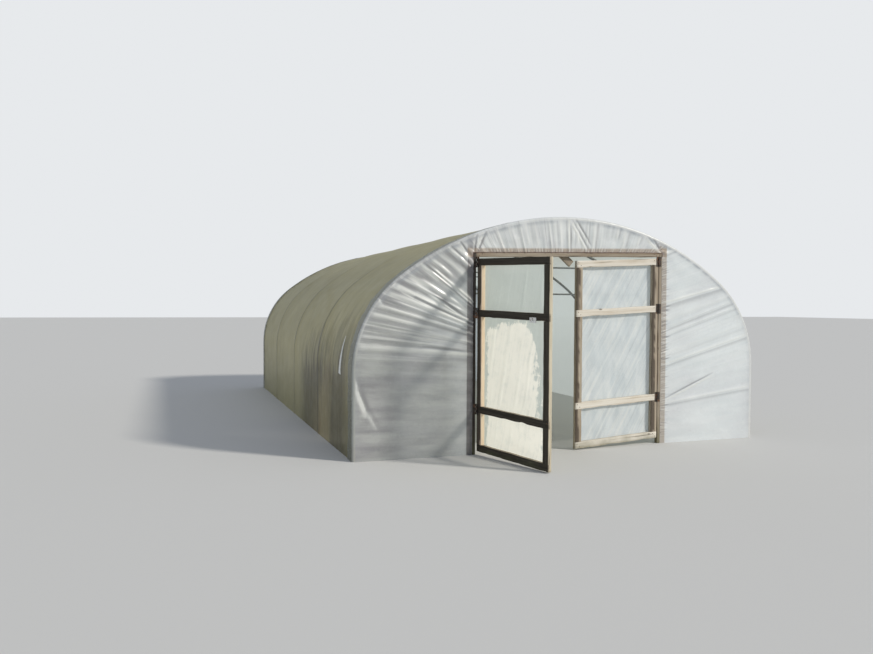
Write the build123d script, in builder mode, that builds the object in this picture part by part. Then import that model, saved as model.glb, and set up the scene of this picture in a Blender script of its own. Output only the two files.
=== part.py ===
from build123d import *
from math import atan2, cos, degrees, radians, sin, sqrt
import os

os.makedirs("parts", exist_ok=True)

# Outside of the covered tunnel
tunnel_width = 4880
tunnel_height = 2531
tunnel_length = 7320
arch_rise = 1661
shoulder_radius = 1245

# Hoops, the tape on them and the sockets at their feet
hoop_diameter = 34
hoop_wall = 2
tape_thickness = 3
tape_spread = 50
tape_end_gap = 5
socket_wall = 2.8
socket_height = 150
hoop_names = ("front_hoop", "second_hoop", "third_hoop", "fourth_hoop", "rear_hoop")

# Ridge pole and its saddles
ridge_diameter = 32
ridge_wall = 2
ridge_overhang = 15
saddle_web = 6
saddle_width = 38
saddle_lip = 4
saddle_corner = 6

# Crop bars
bar_diameter = 21
bar_wall = 1.5
bar_end_gap = 6
upper_bar_drop = 456
lower_bar_drop = 812

# Film, and the clearance between parts that only rest on each other
film_thickness = 3
door_film_thickness = 2
seat_gap = 0.3

# Doorway timber
doorway_width = 2240
header_drop = 457
header_rise = 52
post_width = 100
post_depth = 50
header_height = 85
header_bare = 42
post_bare = 35

# Diagonal board behind the header
brace_width = 78
brace_thickness = 25
brace_length = 640
brace_angle = 40
brace_end_x = 27
brace_end_drop = 76

# Door leaves
leaf_width = 1100
leaf_thickness = 45
side_gap = 10
head_gap = 19
stile_width = 75
rail_height = 73
mid_rail_drop = 533
lower_rail_height = 517
film_margin = 12
left_open_angle = 75
right_open_angle = 5
left_sag = 30
right_sag = 55
floor_gap = 10

# Butt hinges
hinge_height = 110
knuckle_radius = 6
knuckle_gap = 0.4
knuckle_count = 5
pin_radius = 3
pin_clearance = 0.3
flap_clear = 7
flap_width = 26
flap_thickness = 2.5

# Latch plate
latch_width = 92
latch_height = 50
latch_thickness = 3
latch_corner = 5
latch_place = 880
latch_overlap = 30
latch_slot_length = 22
latch_slot_width = 6

# Heights that hang from the crown: the arch's legs, the doorway and the crop bars
leg_height = tunnel_height - arch_rise
doorway_height = tunnel_height - header_drop
upper_bar_height = tunnel_height - upper_bar_drop
lower_bar_height = tunnel_height - lower_bar_drop

# The arch is two straight legs, two shoulder arcs and one crown arc, each tangent to the next
shoulder_x = tunnel_width / 2 - shoulder_radius
crown_reach = shoulder_x**2 + arch_rise**2 - shoulder_radius**2
crown_radius = crown_reach / (2 * (arch_rise - shoulder_radius))
crown_centre = tunnel_height - crown_radius
shoulder_turn = degrees(atan2(leg_height - crown_centre, shoulder_x))

# Distances measured out from a hoop's centre line
hoop_radius = hoop_diameter / 2
ridge_radius = ridge_diameter / 2
bar_radius = bar_diameter / 2
tape_inner = hoop_radius + seat_gap
film_inner = tape_inner + tape_thickness + seat_gap
film_reach = film_inner + film_thickness
under_hoop = film_reach + hoop_radius + seat_gap
hoop_x = tunnel_width / 2 - film_reach
hoop_top = tunnel_height - film_reach

# The left leaf stands open and reaches furthest forward
hinge_set_out = film_inner - seat_gap + knuckle_radius
leaf_far_edge = side_gap / 2 + leaf_width
left_turn = radians(left_open_angle)
leaf_reach = leaf_far_edge * sin(left_turn) - knuckle_radius * cos(left_turn)
front_reach = hinge_set_out + leaf_reach

# The origin is on the ground, at the middle of the rectangle that the building covers
front_y = front_reach - (front_reach + tunnel_length + film_reach) / 2
rear_y = front_y + tunnel_length
bay_length = tunnel_length / (len(hoop_names) - 1)
hoop_places = [front_y + bay_length * number for number in range(len(hoop_names))]

post_front = front_y - film_inner + seat_gap
rear_post_face = rear_y + film_inner - seat_gap
hinge_x = doorway_width / 2 - side_gap / 2
hinge_y = post_front - knuckle_radius


def arch_line(inset, foot):
    """Draw the arch from foot height up and over, inset from the outside of the film."""
    half = tunnel_width / 2 - inset
    Line((-half, foot), (-half, leg_height))
    CenterArc((-shoulder_x, leg_height), shoulder_radius - inset, 180, -shoulder_turn)
    CenterArc((0, crown_centre), crown_radius - inset, 180 - shoulder_turn, 2 * shoulder_turn - 180)
    CenterArc((shoulder_x, leg_height), shoulder_radius - inset, shoulder_turn, -shoulder_turn)
    Line((half, leg_height), (half, foot))


def arch_area(inset):
    """Fill the arch down to the ground, inset from the outside of the film."""
    half = tunnel_width / 2 - inset
    with BuildSketch() as area:
        with BuildLine():
            arch_line(inset, 0)
            Line((half, 0), (-half, 0))
        make_face()
    return area.sketch


def half_span(inset, height):
    """Half the width inside the arch at a height above its legs."""
    shoulder_top = leg_height + (shoulder_radius - inset) * sin(radians(shoulder_turn))
    if height < shoulder_top:
        return shoulder_x + sqrt((shoulder_radius - inset) ** 2 - (height - leg_height) ** 2)
    return sqrt((crown_radius - inset) ** 2 - (height - crown_centre) ** 2)


def at_y(place):
    """The upright plane across the tunnel at one place along it, facing the front."""
    return Plane.XZ.offset(-place)


# Hoops: one bent tube each, from foot to foot
for name, place in zip(hoop_names, hoop_places):
    with BuildPart() as hoop:
        with BuildLine(at_y(place)) as run:
            arch_line(film_reach, 0)
        with BuildSketch(Plane(origin=run.line @ 0, x_dir=(1, 0, 0), z_dir=(0, 0, 1))):
            Circle(hoop_radius)
            Circle(hoop_radius - hoop_wall, mode=Mode.SUBTRACT)
        sweep()
    hoop.part.label = name
    export_step(hoop.part, f"parts/{name}.step")

# Tape: a strip bent round the outer side of each hoop, where the film bears on it
with BuildPart() as hoop_tape:
    for place in hoop_places:
        with BuildLine(at_y(place)) as run:
            arch_line(film_reach, socket_height + tape_end_gap)
        with BuildSketch(Plane(origin=run.line @ 0, x_dir=(1, 0, 0), z_dir=(0, 0, 1))):
            with BuildLine():
                under = CenterArc((0, 0), tape_inner, 180 - tape_spread, 2 * tape_spread)
                over = CenterArc((0, 0), tape_inner + tape_thickness, 180 - tape_spread, 2 * tape_spread)
                Line(under @ 0, over @ 0)
                Line(under @ 1, over @ 1)
            make_face()
        sweep()
hoop_tape.part.label = "hoop_tape"
export_step(hoop_tape.part, "parts/hoop_tape.step")

# Ground tubes: sockets that stand a hand's height out of the ground round each foot
for side, hand in (("left", -1), ("right", 1)):
    with BuildPart() as ground_tubes:
        with BuildSketch():
            with Locations([(hand * hoop_x, place) for place in hoop_places]):
                Circle(hoop_radius + seat_gap + socket_wall)
                Circle(hoop_radius + seat_gap, mode=Mode.SUBTRACT)
        extrude(amount=socket_height)
    ground_tubes.part.label = f"{side}_ground_tubes"
    export_step(ground_tubes.part, f"parts/{side}_ground_tubes.step")

# Ridge pole: a straight tube under the crowns
ridge_z = hoop_top - hoop_radius - saddle_web - ridge_radius
ridge_length = tunnel_length + 2 * ridge_overhang
with BuildPart() as ridge_pole:
    with BuildSketch(at_y(rear_y + ridge_overhang)):
        with Locations((0, ridge_z)):
            Circle(ridge_radius)
            Circle(ridge_radius - ridge_wall, mode=Mode.SUBTRACT)
    extrude(amount=ridge_length)
ridge_pole.part.label = "ridge_pole"
export_step(ridge_pole.part, "parts/ridge_pole.step")

# Ridge saddles: castings hollowed across the top for the hoop and along the bottom for the ridge
with BuildPart() as ridge_saddles:
    with BuildSketch(Plane.XY.offset(ridge_z)):
        with Locations([(0, place) for place in hoop_places]):
            RectangleRounded(saddle_width, saddle_width, saddle_corner)
    extrude(amount=hoop_top - saddle_lip - ridge_z)
    with BuildSketch(Plane.YZ):
        with Locations([(place, hoop_top) for place in hoop_places]):
            Circle(hoop_radius + seat_gap)
    extrude(amount=saddle_width, both=True, mode=Mode.SUBTRACT)
    with BuildSketch(at_y(rear_y + saddle_width)):
        with Locations((0, ridge_z)):
            Circle(ridge_radius + seat_gap)
    extrude(amount=tunnel_length + 2 * saddle_width, mode=Mode.SUBTRACT)
ridge_saddles.part.label = "ridge_saddles"
export_step(ridge_saddles.part, "parts/ridge_saddles.step")


def crop_bar(place, height):
    """A straight tube across the tunnel, just behind the hoop that carries it."""
    reach = half_span(film_thickness + bar_end_gap, height + bar_radius)
    centre = place + hoop_radius + seat_gap + bar_radius
    with BuildPart() as bar:
        with BuildSketch(Plane.YZ):
            with Locations((centre, height)):
                Circle(bar_radius)
                Circle(bar_radius - bar_wall, mode=Mode.SUBTRACT)
        extrude(amount=reach, both=True)
    return bar.part


# Crop bars: one high on each inner hoop, and a second, lower one on the second hoop
with BuildPart() as upper_crop_bars:
    for place in hoop_places[1:-1]:
        add(crop_bar(place, upper_bar_height))
upper_crop_bars.part.label = "upper_crop_bars"
export_step(upper_crop_bars.part, "parts/upper_crop_bars.step")

with BuildPart() as lower_crop_bar:
    add(crop_bar(hoop_places[1], lower_bar_height))
lower_crop_bar.part.label = "lower_crop_bar"
export_step(lower_crop_bar.part, "parts/lower_crop_bar.step")

# Door posts: timber from the ground to the underside of the end hoop, cut to its curve
for end, face, inward in (("front", post_front, -1), ("rear", rear_post_face, 1)):
    for side, hand in (("left", -1), ("right", 1)):
        with BuildPart() as post:
            with BuildSketch(at_y(face)):
                add(arch_area(under_hoop))
                with Locations((hand * (doorway_width + post_width) / 2, tunnel_height / 2)):
                    Rectangle(post_width, tunnel_height, mode=Mode.INTERSECT)
            extrude(amount=inward * post_depth)
        post.part.label = f"{end}_{side}_post"
        export_step(post.part, f"parts/{end}_{side}_post.step")

# Headers: timber between the posts, the front one out of level as the doorway is
for name, face, inward, climb in (
    ("door_header", post_front, -1, header_rise),
    ("rear_header", rear_post_face, 1, 0),
):
    with BuildPart() as header:
        with BuildSketch(at_y(face)):
            with BuildLine():
                Polyline(
                    (-doorway_width / 2, doorway_height),
                    (doorway_width / 2, doorway_height + climb),
                    (doorway_width / 2, doorway_height + climb + header_height),
                    (-doorway_width / 2, doorway_height + header_height),
                    close=True,
                )
            make_face()
        extrude(amount=inward * post_depth)
    header.part.label = name
    export_step(header.part, f"parts/{name}.step")

# Header brace: a board nailed behind the header, its square end hanging below it
brace_turn = radians(brace_angle)
brace_end_z = doorway_height + header_rise / 2 - brace_end_drop
brace_middle = (
    brace_end_x - brace_length / 2 * cos(brace_turn),
    brace_end_z + brace_length / 2 * sin(brace_turn),
)
with BuildPart() as header_brace:
    with BuildSketch(at_y(post_front + post_depth)):
        with Locations(brace_middle):
            Rectangle(brace_length, brace_width, rotation=-brace_angle)
    extrude(amount=-brace_thickness)
header_brace.part.label = "header_brace"
export_step(header_brace.part, "parts/header_brace.step")

# Main cover: one sheet over all the hoops, down to the ground on both sides
with BuildPart() as main_cover:
    with BuildSketch(at_y(rear_y)):
        add(arch_area(0))
        add(arch_area(film_thickness), mode=Mode.SUBTRACT)
    extrude(amount=tunnel_length)
main_cover.part.label = "main_cover"
export_step(main_cover.part, "parts/main_cover.step")


def end_skin(hoop_place, outward):
    """The film over one end: a flat sheet, and its edge rolled round the hoop."""
    with BuildPart() as skin:
        with BuildSketch(at_y(hoop_place + outward * film_inner)):
            add(arch_area(film_reach))
        extrude(amount=-outward * film_thickness)
        with BuildLine(at_y(hoop_place)) as run:
            arch_line(film_reach, 0)
        with BuildSketch(Plane(origin=run.line @ 0, x_dir=(1, 0, 0), z_dir=(0, 0, 1))):
            with BuildLine():
                under = CenterArc((0, 0), film_inner, 180, -outward * 90)
                over = CenterArc((0, 0), film_reach, 180, -outward * 90)
                Line(under @ 0, over @ 0)
                Line(under @ 1, over @ 1)
            make_face()
        sweep()
    return skin.part


front_skin = end_skin(front_y, -1)
film_edge = doorway_width / 2 + post_bare
side_sheet = tunnel_width / 2 - film_edge

# Front film, beside the doorway: it laps the posts and leaves a strip of them bare for the hinges
for side, hand in (("left", -1), ("right", 1)):
    with BuildPart() as front_film:
        add(front_skin)
        with BuildSketch(at_y(front_y)):
            with Locations((hand * (film_edge + side_sheet / 2), tunnel_height / 2)):
                Rectangle(side_sheet, tunnel_height)
        extrude(amount=film_reach, mode=Mode.INTERSECT)
    front_film.part.label = f"front_film_{side}"
    export_step(front_film.part, f"parts/front_film_{side}.step")

# Front film, over the doorway: its lower edge is fixed along the header
film_edge_drop = header_rise * post_bare / doorway_width
with BuildPart() as front_film_top:
    add(front_skin)
    with BuildSketch(at_y(front_y)):
        with BuildLine():
            Polyline(
                (-film_edge, doorway_height + header_bare - film_edge_drop),
                (film_edge, doorway_height + header_rise + header_bare + film_edge_drop),
                (film_edge, tunnel_height),
                (-film_edge, tunnel_height),
                close=True,
            )
        make_face()
    extrude(amount=film_reach, mode=Mode.INTERSECT)
front_film_top.part.label = "front_film_top"
export_step(front_film_top.part, "parts/front_film_top.step")

# Rear film: the closed end, one sheet
with BuildPart() as rear_film:
    add(end_skin(rear_y, 1))
rear_film.part.label = "rear_film"
export_step(rear_film.part, "parts/rear_film.step")


def hinge_half(plan, wood, inward, heights, turns, hole):
    """Half of each butt hinge of a leaf, about an upright line at the plan's origin.

    wood and inward give the sides that the flap and the timber lie on. turns are the
    knuckles that this half has. A hole of no size means that this half holds the pin.
    """
    knuckle_height = hinge_height / knuckle_count
    flap_line = inward * (knuckle_radius - flap_thickness / 2)
    with BuildPart() as half:
        for height in heights:
            foot = height - hinge_height / 2
            with BuildSketch(plan.offset(foot)):
                with Locations((wood * (flap_clear + flap_width / 2), flap_line)):
                    Rectangle(flap_width, flap_thickness)
                if not hole:
                    Circle(pin_radius)
            extrude(amount=hinge_height)
            for turn in turns:
                with BuildSketch(plan.offset(foot + turn * knuckle_height)):
                    Circle(knuckle_radius)
                    with Locations((wood * flap_clear / 2, flap_line)):
                        Rectangle(flap_clear, flap_thickness)
                    if hole:
                        Circle(hole, mode=Mode.SUBTRACT)
                extrude(amount=knuckle_height - knuckle_gap)
    return half.part


# Door leaves: half-lapped timber frames that have sunk out of square at the free side,
# with film on the inner face. Each is built where it stands, swung about its hinge line.
post_knuckles = range(0, knuckle_count, 2)
leaf_knuckles = range(1, knuckle_count, 2)
for side, hand, open_angle, sag, climb in (
    ("left", -1, left_open_angle, left_sag, 0),
    ("right", 1, right_open_angle, right_sag, header_rise),
):
    swing = radians(open_angle)
    along = Vector(-hand * cos(swing), -sin(swing), 0)
    axis_foot = (hand * hinge_x, hinge_y, 0)
    leaf_plane = Plane(origin=axis_foot, x_dir=along, z_dir=along.cross(Vector(0, 0, 1)))
    face_plane = leaf_plane.offset(hand * knuckle_radius)
    back_plane = face_plane.offset(hand * (leaf_thickness + seat_gap))
    head = doorway_height + climb - head_gap
    leaf_foot = floor_gap + sag
    near_edge = side_gap / 2
    far_edge = leaf_far_edge
    slope = sag / leaf_far_edge

    def racked(start, end, low, high):
        """Corners of a bar of this leaf, which drops evenly towards the free side."""
        return [
            (start, low - slope * start),
            (end, low - slope * end),
            (end, high - slope * end),
            (start, high - slope * start),
        ]

    rails = {
        "top_rail": head,
        "mid_rail": head - mid_rail_drop,
        "lower_rail": lower_rail_height + climb,
        "bottom_rail": leaf_foot + rail_height,
    }
    for name, top in rails.items():
        with BuildPart() as rail:
            with BuildSketch(face_plane):
                with BuildLine():
                    corners = racked(near_edge, far_edge, top - rail_height, top)
                    Polyline(*corners, close=True)
                make_face()
            extrude(amount=hand * leaf_thickness / 2)
            with BuildSketch(face_plane):
                with BuildLine():
                    corners = racked(near_edge + stile_width, far_edge - stile_width, top - rail_height, top)
                    Polyline(*corners, close=True)
                make_face()
            extrude(amount=hand * leaf_thickness)
        rail.part.label = f"{side}_door_{name}"
        export_step(rail.part, f"parts/{side}_door_{name}.step")

    stiles = {"hinge_stile": near_edge, "free_stile": far_edge - stile_width}
    for name, start in stiles.items():
        with BuildPart() as stile:
            with BuildSketch(face_plane):
                with BuildLine():
                    corners = racked(start, start + stile_width, leaf_foot, head)
                    Polyline(*corners, close=True)
                make_face()
            extrude(amount=hand * leaf_thickness)
            for top in rails.values():
                with BuildSketch(face_plane):
                    with BuildLine():
                        corners = racked(start, start + stile_width, top - rail_height, top)
                        Polyline(*corners, close=True)
                    make_face()
                extrude(amount=hand * leaf_thickness / 2, mode=Mode.SUBTRACT)
        stile.part.label = f"{side}_door_{name}"
        export_step(stile.part, f"parts/{side}_door_{name}.step")

    with BuildPart() as door_film:
        with BuildSketch(back_plane):
            with BuildLine():
                corners = racked(
                    near_edge + film_margin, far_edge - film_margin, leaf_foot + film_margin, head - film_margin
                )
                Polyline(*corners, close=True)
            make_face()
        extrude(amount=hand * door_film_thickness)
    door_film.part.label = f"{side}_door_film"
    export_step(door_film.part, f"parts/{side}_door_film.step")

    heights = [rails[name] - rail_height / 2 for name in ("top_rail", "mid_rail", "lower_rail")]
    post_plan = Plane(origin=axis_foot, x_dir=(1, 0, 0), z_dir=(0, 0, 1))
    post_plates = hinge_half(post_plan, hand, 1, heights, post_knuckles, 0)
    post_plates.label = f"{side}_hinge_post_plates"
    export_step(post_plates, f"parts/{side}_hinge_post_plates.step")

    leaf_plan = Plane(origin=axis_foot, x_dir=along, z_dir=(0, 0, 1))
    leaf_plates = hinge_half(leaf_plan, 1, -hand, heights, leaf_knuckles, pin_radius + pin_clearance)
    leaf_plates.label = f"{side}_door_hinge_plates"
    export_step(leaf_plates, f"parts/{side}_door_hinge_plates.step")

    if side == "left":
        latch_top = rails["mid_rail"] - rail_height + latch_overlap - slope * latch_place
        with BuildPart() as latch:
            with BuildSketch(face_plane):
                with Locations((latch_place, latch_top - latch_height / 2)):
                    RectangleRounded(latch_width, latch_height, latch_corner)
                    SlotOverall(latch_slot_length, latch_slot_width, mode=Mode.SUBTRACT)
            extrude(amount=-hand * latch_thickness)
        latch.part.label = "left_door_latch"
        export_step(latch.part, "parts/left_door_latch.step")
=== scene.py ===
import bpy
import numpy as np
from mathutils import Matrix, Vector


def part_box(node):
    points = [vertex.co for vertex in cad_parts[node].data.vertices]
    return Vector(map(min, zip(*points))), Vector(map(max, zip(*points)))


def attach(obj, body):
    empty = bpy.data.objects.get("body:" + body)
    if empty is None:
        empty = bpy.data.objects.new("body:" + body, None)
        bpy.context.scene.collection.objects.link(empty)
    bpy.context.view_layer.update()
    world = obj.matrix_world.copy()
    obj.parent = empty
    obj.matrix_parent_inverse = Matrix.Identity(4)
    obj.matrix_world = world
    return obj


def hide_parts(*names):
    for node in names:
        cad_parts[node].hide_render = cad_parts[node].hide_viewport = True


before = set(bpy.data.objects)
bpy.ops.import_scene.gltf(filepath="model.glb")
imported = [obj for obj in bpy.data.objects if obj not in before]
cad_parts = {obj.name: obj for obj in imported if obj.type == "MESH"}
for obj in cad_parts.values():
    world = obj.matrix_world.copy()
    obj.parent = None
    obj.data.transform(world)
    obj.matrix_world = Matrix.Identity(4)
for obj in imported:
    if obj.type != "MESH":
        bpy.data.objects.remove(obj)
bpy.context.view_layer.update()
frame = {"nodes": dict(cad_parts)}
nodes = frame["nodes"]


# Standing place, light and camera
# A pale floor under a pale sky, a broad soft sun from the front right, and the eye at a
# standing person's height, left of the doors, as the tunnel was seen.
def middle(node):
    """The middle of a node's box."""
    return np.mean(np.array(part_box(node)), axis=0)


FRONT_Y = middle("front_hoop")[1]
REAR_Y = middle("rear_hoop")[1]
PICTURE_WIDTH = 873
FOCAL_PIXELS = 781.4
SENSOR_WIDTH = 36.0
EYE = (-4.191, FRONT_Y - 7.593, 1.576)
EYE_YAW, EYE_PITCH, EYE_ROLL = np.radians((19.19, -1.664, 0.277))
SUN_FROM = (0.66, -0.56, 0.50)
SUN_SPREAD = np.radians(6)
SUN_STRENGTH = 2.8
SUN_COLOUR = (1.0, 0.95, 0.87)
SKY_COLOUR = (0.83, 0.89, 1.0)
SKY_STRENGTH = 0.50
BACKDROP_COLOUR = (0.80, 0.82, 0.84)
FLOOR_COLOUR = (0.60, 0.60, 0.585)
FLOOR_ROUGHNESS = 0.9
FLOOR_SIZE = 160.0

scene = bpy.context.scene
scene.view_settings.view_transform = "Standard"


def colour(rgb):
    """An opaque colour for a socket."""
    return (*rgb, 1.0)


def fill(node, inputs):
    """Sets a node's inputs, by name or number, to plain values or to what other nodes give."""
    for key, value in inputs.items():
        value = getattr(value, "socket", value)
        if isinstance(value, bpy.types.NodeSocket):
            node.id_data.links.new(value, node.inputs[key])
        else:
            node.inputs[key].default_value = value


def add_node(tree, kind, inputs=None, **settings):
    """A new node with its settings, and its inputs filled."""
    node = tree.nodes.new(kind)
    for key, value in settings.items():
        setattr(node, key, value)
    fill(node, inputs or {})
    return node


def mixed(tree, share, first, second):
    """Two shader nodes mixed by a share."""
    return add_node(tree, "ShaderNodeMixShader", {0: share, 1: first.outputs[0], 2: second.outputs[0]})


def new_material(name):
    """A material, its tree, and the Principled shader that its output shows."""
    material = bpy.data.materials.new(name)
    material.use_nodes = True
    tree = material.node_tree
    tree.nodes.clear()
    shader = add_node(tree, "ShaderNodeBsdfPrincipled")
    add_node(tree, "ShaderNodeOutputMaterial", {0: shader.outputs[0]})
    return material, tree, shader


def mesh_object(name, points, faces, smooth=True):
    """A mesh object at the origin, from an array of points and a list of faces."""
    mesh = bpy.data.meshes.new(name)
    mesh.from_pydata(np.asarray(points, float).reshape(-1, 3).tolist(), [], faces)
    mesh.polygons.foreach_set("use_smooth", np.full(len(mesh.polygons), smooth))
    mesh.update()
    piece = bpy.data.objects.new(name, mesh)
    scene.collection.objects.link(piece)
    return piece


def eye_axes(yaw, pitch, roll):
    """The eye's right, up and forward unit vectors: turned right by yaw, up by pitch, then rolled."""
    forward = np.array([np.sin(yaw) * np.cos(pitch), np.cos(yaw) * np.cos(pitch), np.sin(pitch)])
    right = np.array([np.cos(yaw), -np.sin(yaw), 0.0])
    up = np.cross(right, forward)
    return right * np.cos(roll) + up * np.sin(roll), up * np.cos(roll) - right * np.sin(roll), forward


camera_data = bpy.data.cameras.new("eye")
camera_data.sensor_width = SENSOR_WIDTH
camera_data.lens = FOCAL_PIXELS / PICTURE_WIDTH * SENSOR_WIDTH
camera = bpy.data.objects.new("eye", camera_data)
eye_right, eye_up, eye_forward = eye_axes(EYE_YAW, EYE_PITCH, EYE_ROLL)
eye_turn = Matrix(np.array([eye_right, eye_up, -eye_forward]).T.tolist()).to_4x4()
camera.matrix_world = Matrix.Translation(EYE) @ eye_turn
scene.collection.objects.link(camera)
scene.camera = camera

sun_data = bpy.data.lights.new("sun", "SUN")
sun_data.energy = SUN_STRENGTH
sun_data.angle = SUN_SPREAD
sun_data.color = SUN_COLOUR
sun = bpy.data.objects.new("sun", sun_data)
sun.rotation_euler = Vector(SUN_FROM).to_track_quat("Z", "Y").to_euler()
scene.collection.objects.link(sun)

world = bpy.data.worlds.new("sky")
scene.world = world
world.use_nodes = True
sky = world.node_tree
sky.nodes.clear()
sky_light = add_node(sky, "ShaderNodeBackground", {"Color": colour(SKY_COLOUR), "Strength": SKY_STRENGTH})
backdrop = add_node(sky, "ShaderNodeBackground", {"Color": colour(BACKDROP_COLOUR)})
to_eye = add_node(sky, "ShaderNodeLightPath").outputs["Is Camera Ray"]
add_node(sky, "ShaderNodeOutputWorld", {0: mixed(sky, to_eye, sky_light, backdrop).outputs[0]})

corners = ((-1, -1, 0), (1, -1, 0), (1, 1, 0), (-1, 1, 0))
floor = mesh_object("floor", np.array(corners) * FLOOR_SIZE / 2, [(0, 1, 2, 3)], smooth=False)
floor_material, _, floor_shader = new_material("floor")
fill(floor_shader, {"Base Color": colour(FLOOR_COLOUR), "Roughness": FLOOR_ROUGHNESS})
floor.data.materials.append(floor_material)


# Steel tubes: five hoops, their ground sockets, the ridge pole and the crop bars
# Bent galvanised tube, gone dull, with its spangle still showing and rust climbing from the
# ground. The tubes keep the shape that they were made with.
ZINC_LIGHT = (0.42, 0.43, 0.43)
ZINC_DARK = (0.25, 0.26, 0.265)
RUST_LIGHT = (0.30, 0.135, 0.055)
RUST_DARK = (0.095, 0.038, 0.020)
RUST_CLIMB = 0.55
TUBE_RUST, RUST_PER_METRE = (0.62, 0.30), 14.0
SPANGLE_PER_METRE = 60.0


class Pattern:
    """A value, colour or place that a node gives at each point of a surface.

    Patterns are added and multiplied as numbers are. Each sum and each method is one more node.
    """

    def __init__(self, socket):
        self.socket = socket
        self.tree = socket.id_data

    def through(self, kind, inputs, output=0, **settings):
        """What a new node gives from its inputs, with this pattern among them."""
        return Pattern(add_node(self.tree, kind, inputs, **settings).outputs[output])

    def sums(self, operation, other=0.0):
        """One sum of this pattern and another, or a number."""
        return self.through("ShaderNodeMath", {0: self, 1: other}, operation=operation)

    def __add__(self, other):
        return self.sums("ADD", other)

    def __sub__(self, other):
        return self.sums("SUBTRACT", other)

    def __rsub__(self, number):
        return self.through("ShaderNodeMath", {0: number, 1: self}, operation="SUBTRACT")

    def __mul__(self, other):
        return self.sums("MULTIPLY", other)

    def __truediv__(self, other):
        return self.sums("DIVIDE", other)

    def __abs__(self):
        return self.sums("ABSOLUTE")

    def larger(self, other):
        """The larger of this pattern and another."""
        return self.sums("MAXIMUM", other)

    def spread(self, low, high, to_low=0.0, to_high=1.0):
        """The range low to high, stretched to another range and held at its ends."""
        return self.through("ShaderNodeMapRange", {0: self, 1: low, 2: high, 3: to_low, 4: to_high})

    def between(self, none, full):
        """This share of the way from one value to another."""
        return self.spread(0.0, 1.0, none, full)

    def blend(self, first, second):
        """Two colours mixed by this share, each a plain colour or a pattern."""
        first, second = (part if isinstance(part, Pattern) else colour(part) for part in (first, second))
        return self.through("ShaderNodeMix", {0: self, 6: first, 7: second}, 2, data_type="RGBA")

    def stretched(self, scale):
        """These places, stretched by a factor along each axis."""
        return self.through("ShaderNodeMapping", {"Vector": self, "Scale": scale})

    def noise(self, scale, detail=4.0, roughness=0.55):
        """A soft random value of one scale, over these places."""
        inputs = {"Vector": self, "Scale": scale, "Detail": detail, "Roughness": roughness}
        return self.through("ShaderNodeTexNoise", inputs)

    def cells(self, scale, output="Distance"):
        """Cells round scattered points: the distance to the nearest point, or each cell's Color."""
        return self.through("ShaderNodeTexVoronoi", {"Vector": self, "Scale": scale}, output)

    def parts(self):
        """The X, Y and Z of these places."""
        return [Pattern(part) for part in add_node(self.tree, "ShaderNodeSeparateXYZ", {0: self}).outputs]

    def bump(self, strength, distance):
        """A normal bent by this height."""
        inputs = {"Height": self, "Strength": strength, "Distance": distance}
        return self.through("ShaderNodeBump", inputs)


def object_place(tree):
    """Coordinates in the object's own frame."""
    return Pattern(add_node(tree, "ShaderNodeTexCoord").outputs["Object"])


def coat(shader, skin, roughness, normal):
    """The colour, the roughness and the fine relief that every finish here has."""
    fill(shader, {"Base Color": skin, "Roughness": roughness, "Normal": normal})


def new_group(name, wants, gives):
    """A node group, its inputs as patterns, and its output node."""
    kinds = {"Vector": "NodeSocketVector", "Colour": "NodeSocketColor"}
    group = bpy.data.node_groups.new(name, "ShaderNodeTree")
    for in_out, labels in (("INPUT", wants), ("OUTPUT", gives)):
        for label in labels:
            kind = kinds.get(label, "NodeSocketFloat")
            group.interface.new_socket(label, in_out=in_out, socket_type=kind)
    into = add_node(group, "NodeGroupInput").outputs
    return group, [Pattern(into[label]) for label in wants], add_node(group, "NodeGroupOutput")


def use_group(tree, group, **inputs):
    """What a node group gives in a tree, by name. A space in an input's name is written as _."""
    inputs = {key.replace("_", " "): value for key, value in inputs.items()}
    node = add_node(tree, "ShaderNodeGroup", inputs, node_tree=group)
    return {output.name: Pattern(output) for output in node.outputs}


rust_group, (rust_place, rust_scale, rust_amount), rust_out = new_group(
    "rust", ("Vector", "Scale", "Amount"), ("Mask", "Colour", "Height")
)
rust_mask = (rust_place.noise(rust_scale, 8.0, 0.7) - (1.0 - rust_amount) * 0.8).spread(0.0, 0.12)
rust_fine = rust_place.noise(rust_scale * 7.0, 5.0, 0.7)
rust_colour = rust_fine.blend(RUST_DARK, RUST_LIGHT)
fill(rust_out, {"Mask": rust_mask, "Colour": rust_colour, "Height": rust_mask * rust_fine})


def steel_material(name, light, dark, rust_at_foot, rust_above):
    """Dull galvanised steel, rusted more near the ground than above it."""
    material, tree, shader = new_material(name)
    place = object_place(tree)
    cells = place.cells(SPANGLE_PER_METRE, "Color")
    tone = cells.through("ShaderNodeRGBToBW", {0: cells}) * 0.45 + place.noise(9.0, 5.0) * 0.55
    amount = place.parts()[2].spread(0.0, RUST_CLIMB, rust_at_foot, rust_above)
    rust = use_group(tree, rust_group, Vector=place, Scale=RUST_PER_METRE, Amount=amount)
    skin = rust["Mask"].blend(tone.blend(dark, light), rust["Colour"])
    coat(shader, skin, rust["Mask"].between(0.48, 0.92), rust["Height"].bump(0.6, 0.002))
    fill(shader, {"Metallic": rust["Mask"].between(0.7, 0.0)})
    return material


def dress(material, *names):
    """One material on the slots of several nodes."""
    for name in names:
        for place in nodes[name].material_slots:
            place.material = material


tube_steel = steel_material("tube_steel", ZINC_LIGHT, ZINC_DARK, *TUBE_RUST)
HOOPS = ("front_hoop", "second_hoop", "third_hoop", "fourth_hoop", "rear_hoop")
dress(tube_steel, *HOOPS, "left_ground_tubes", "right_ground_tubes", "ridge_pole", "upper_crop_bars")
dress(tube_steel, "lower_crop_bar", "ridge_saddles")


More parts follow.
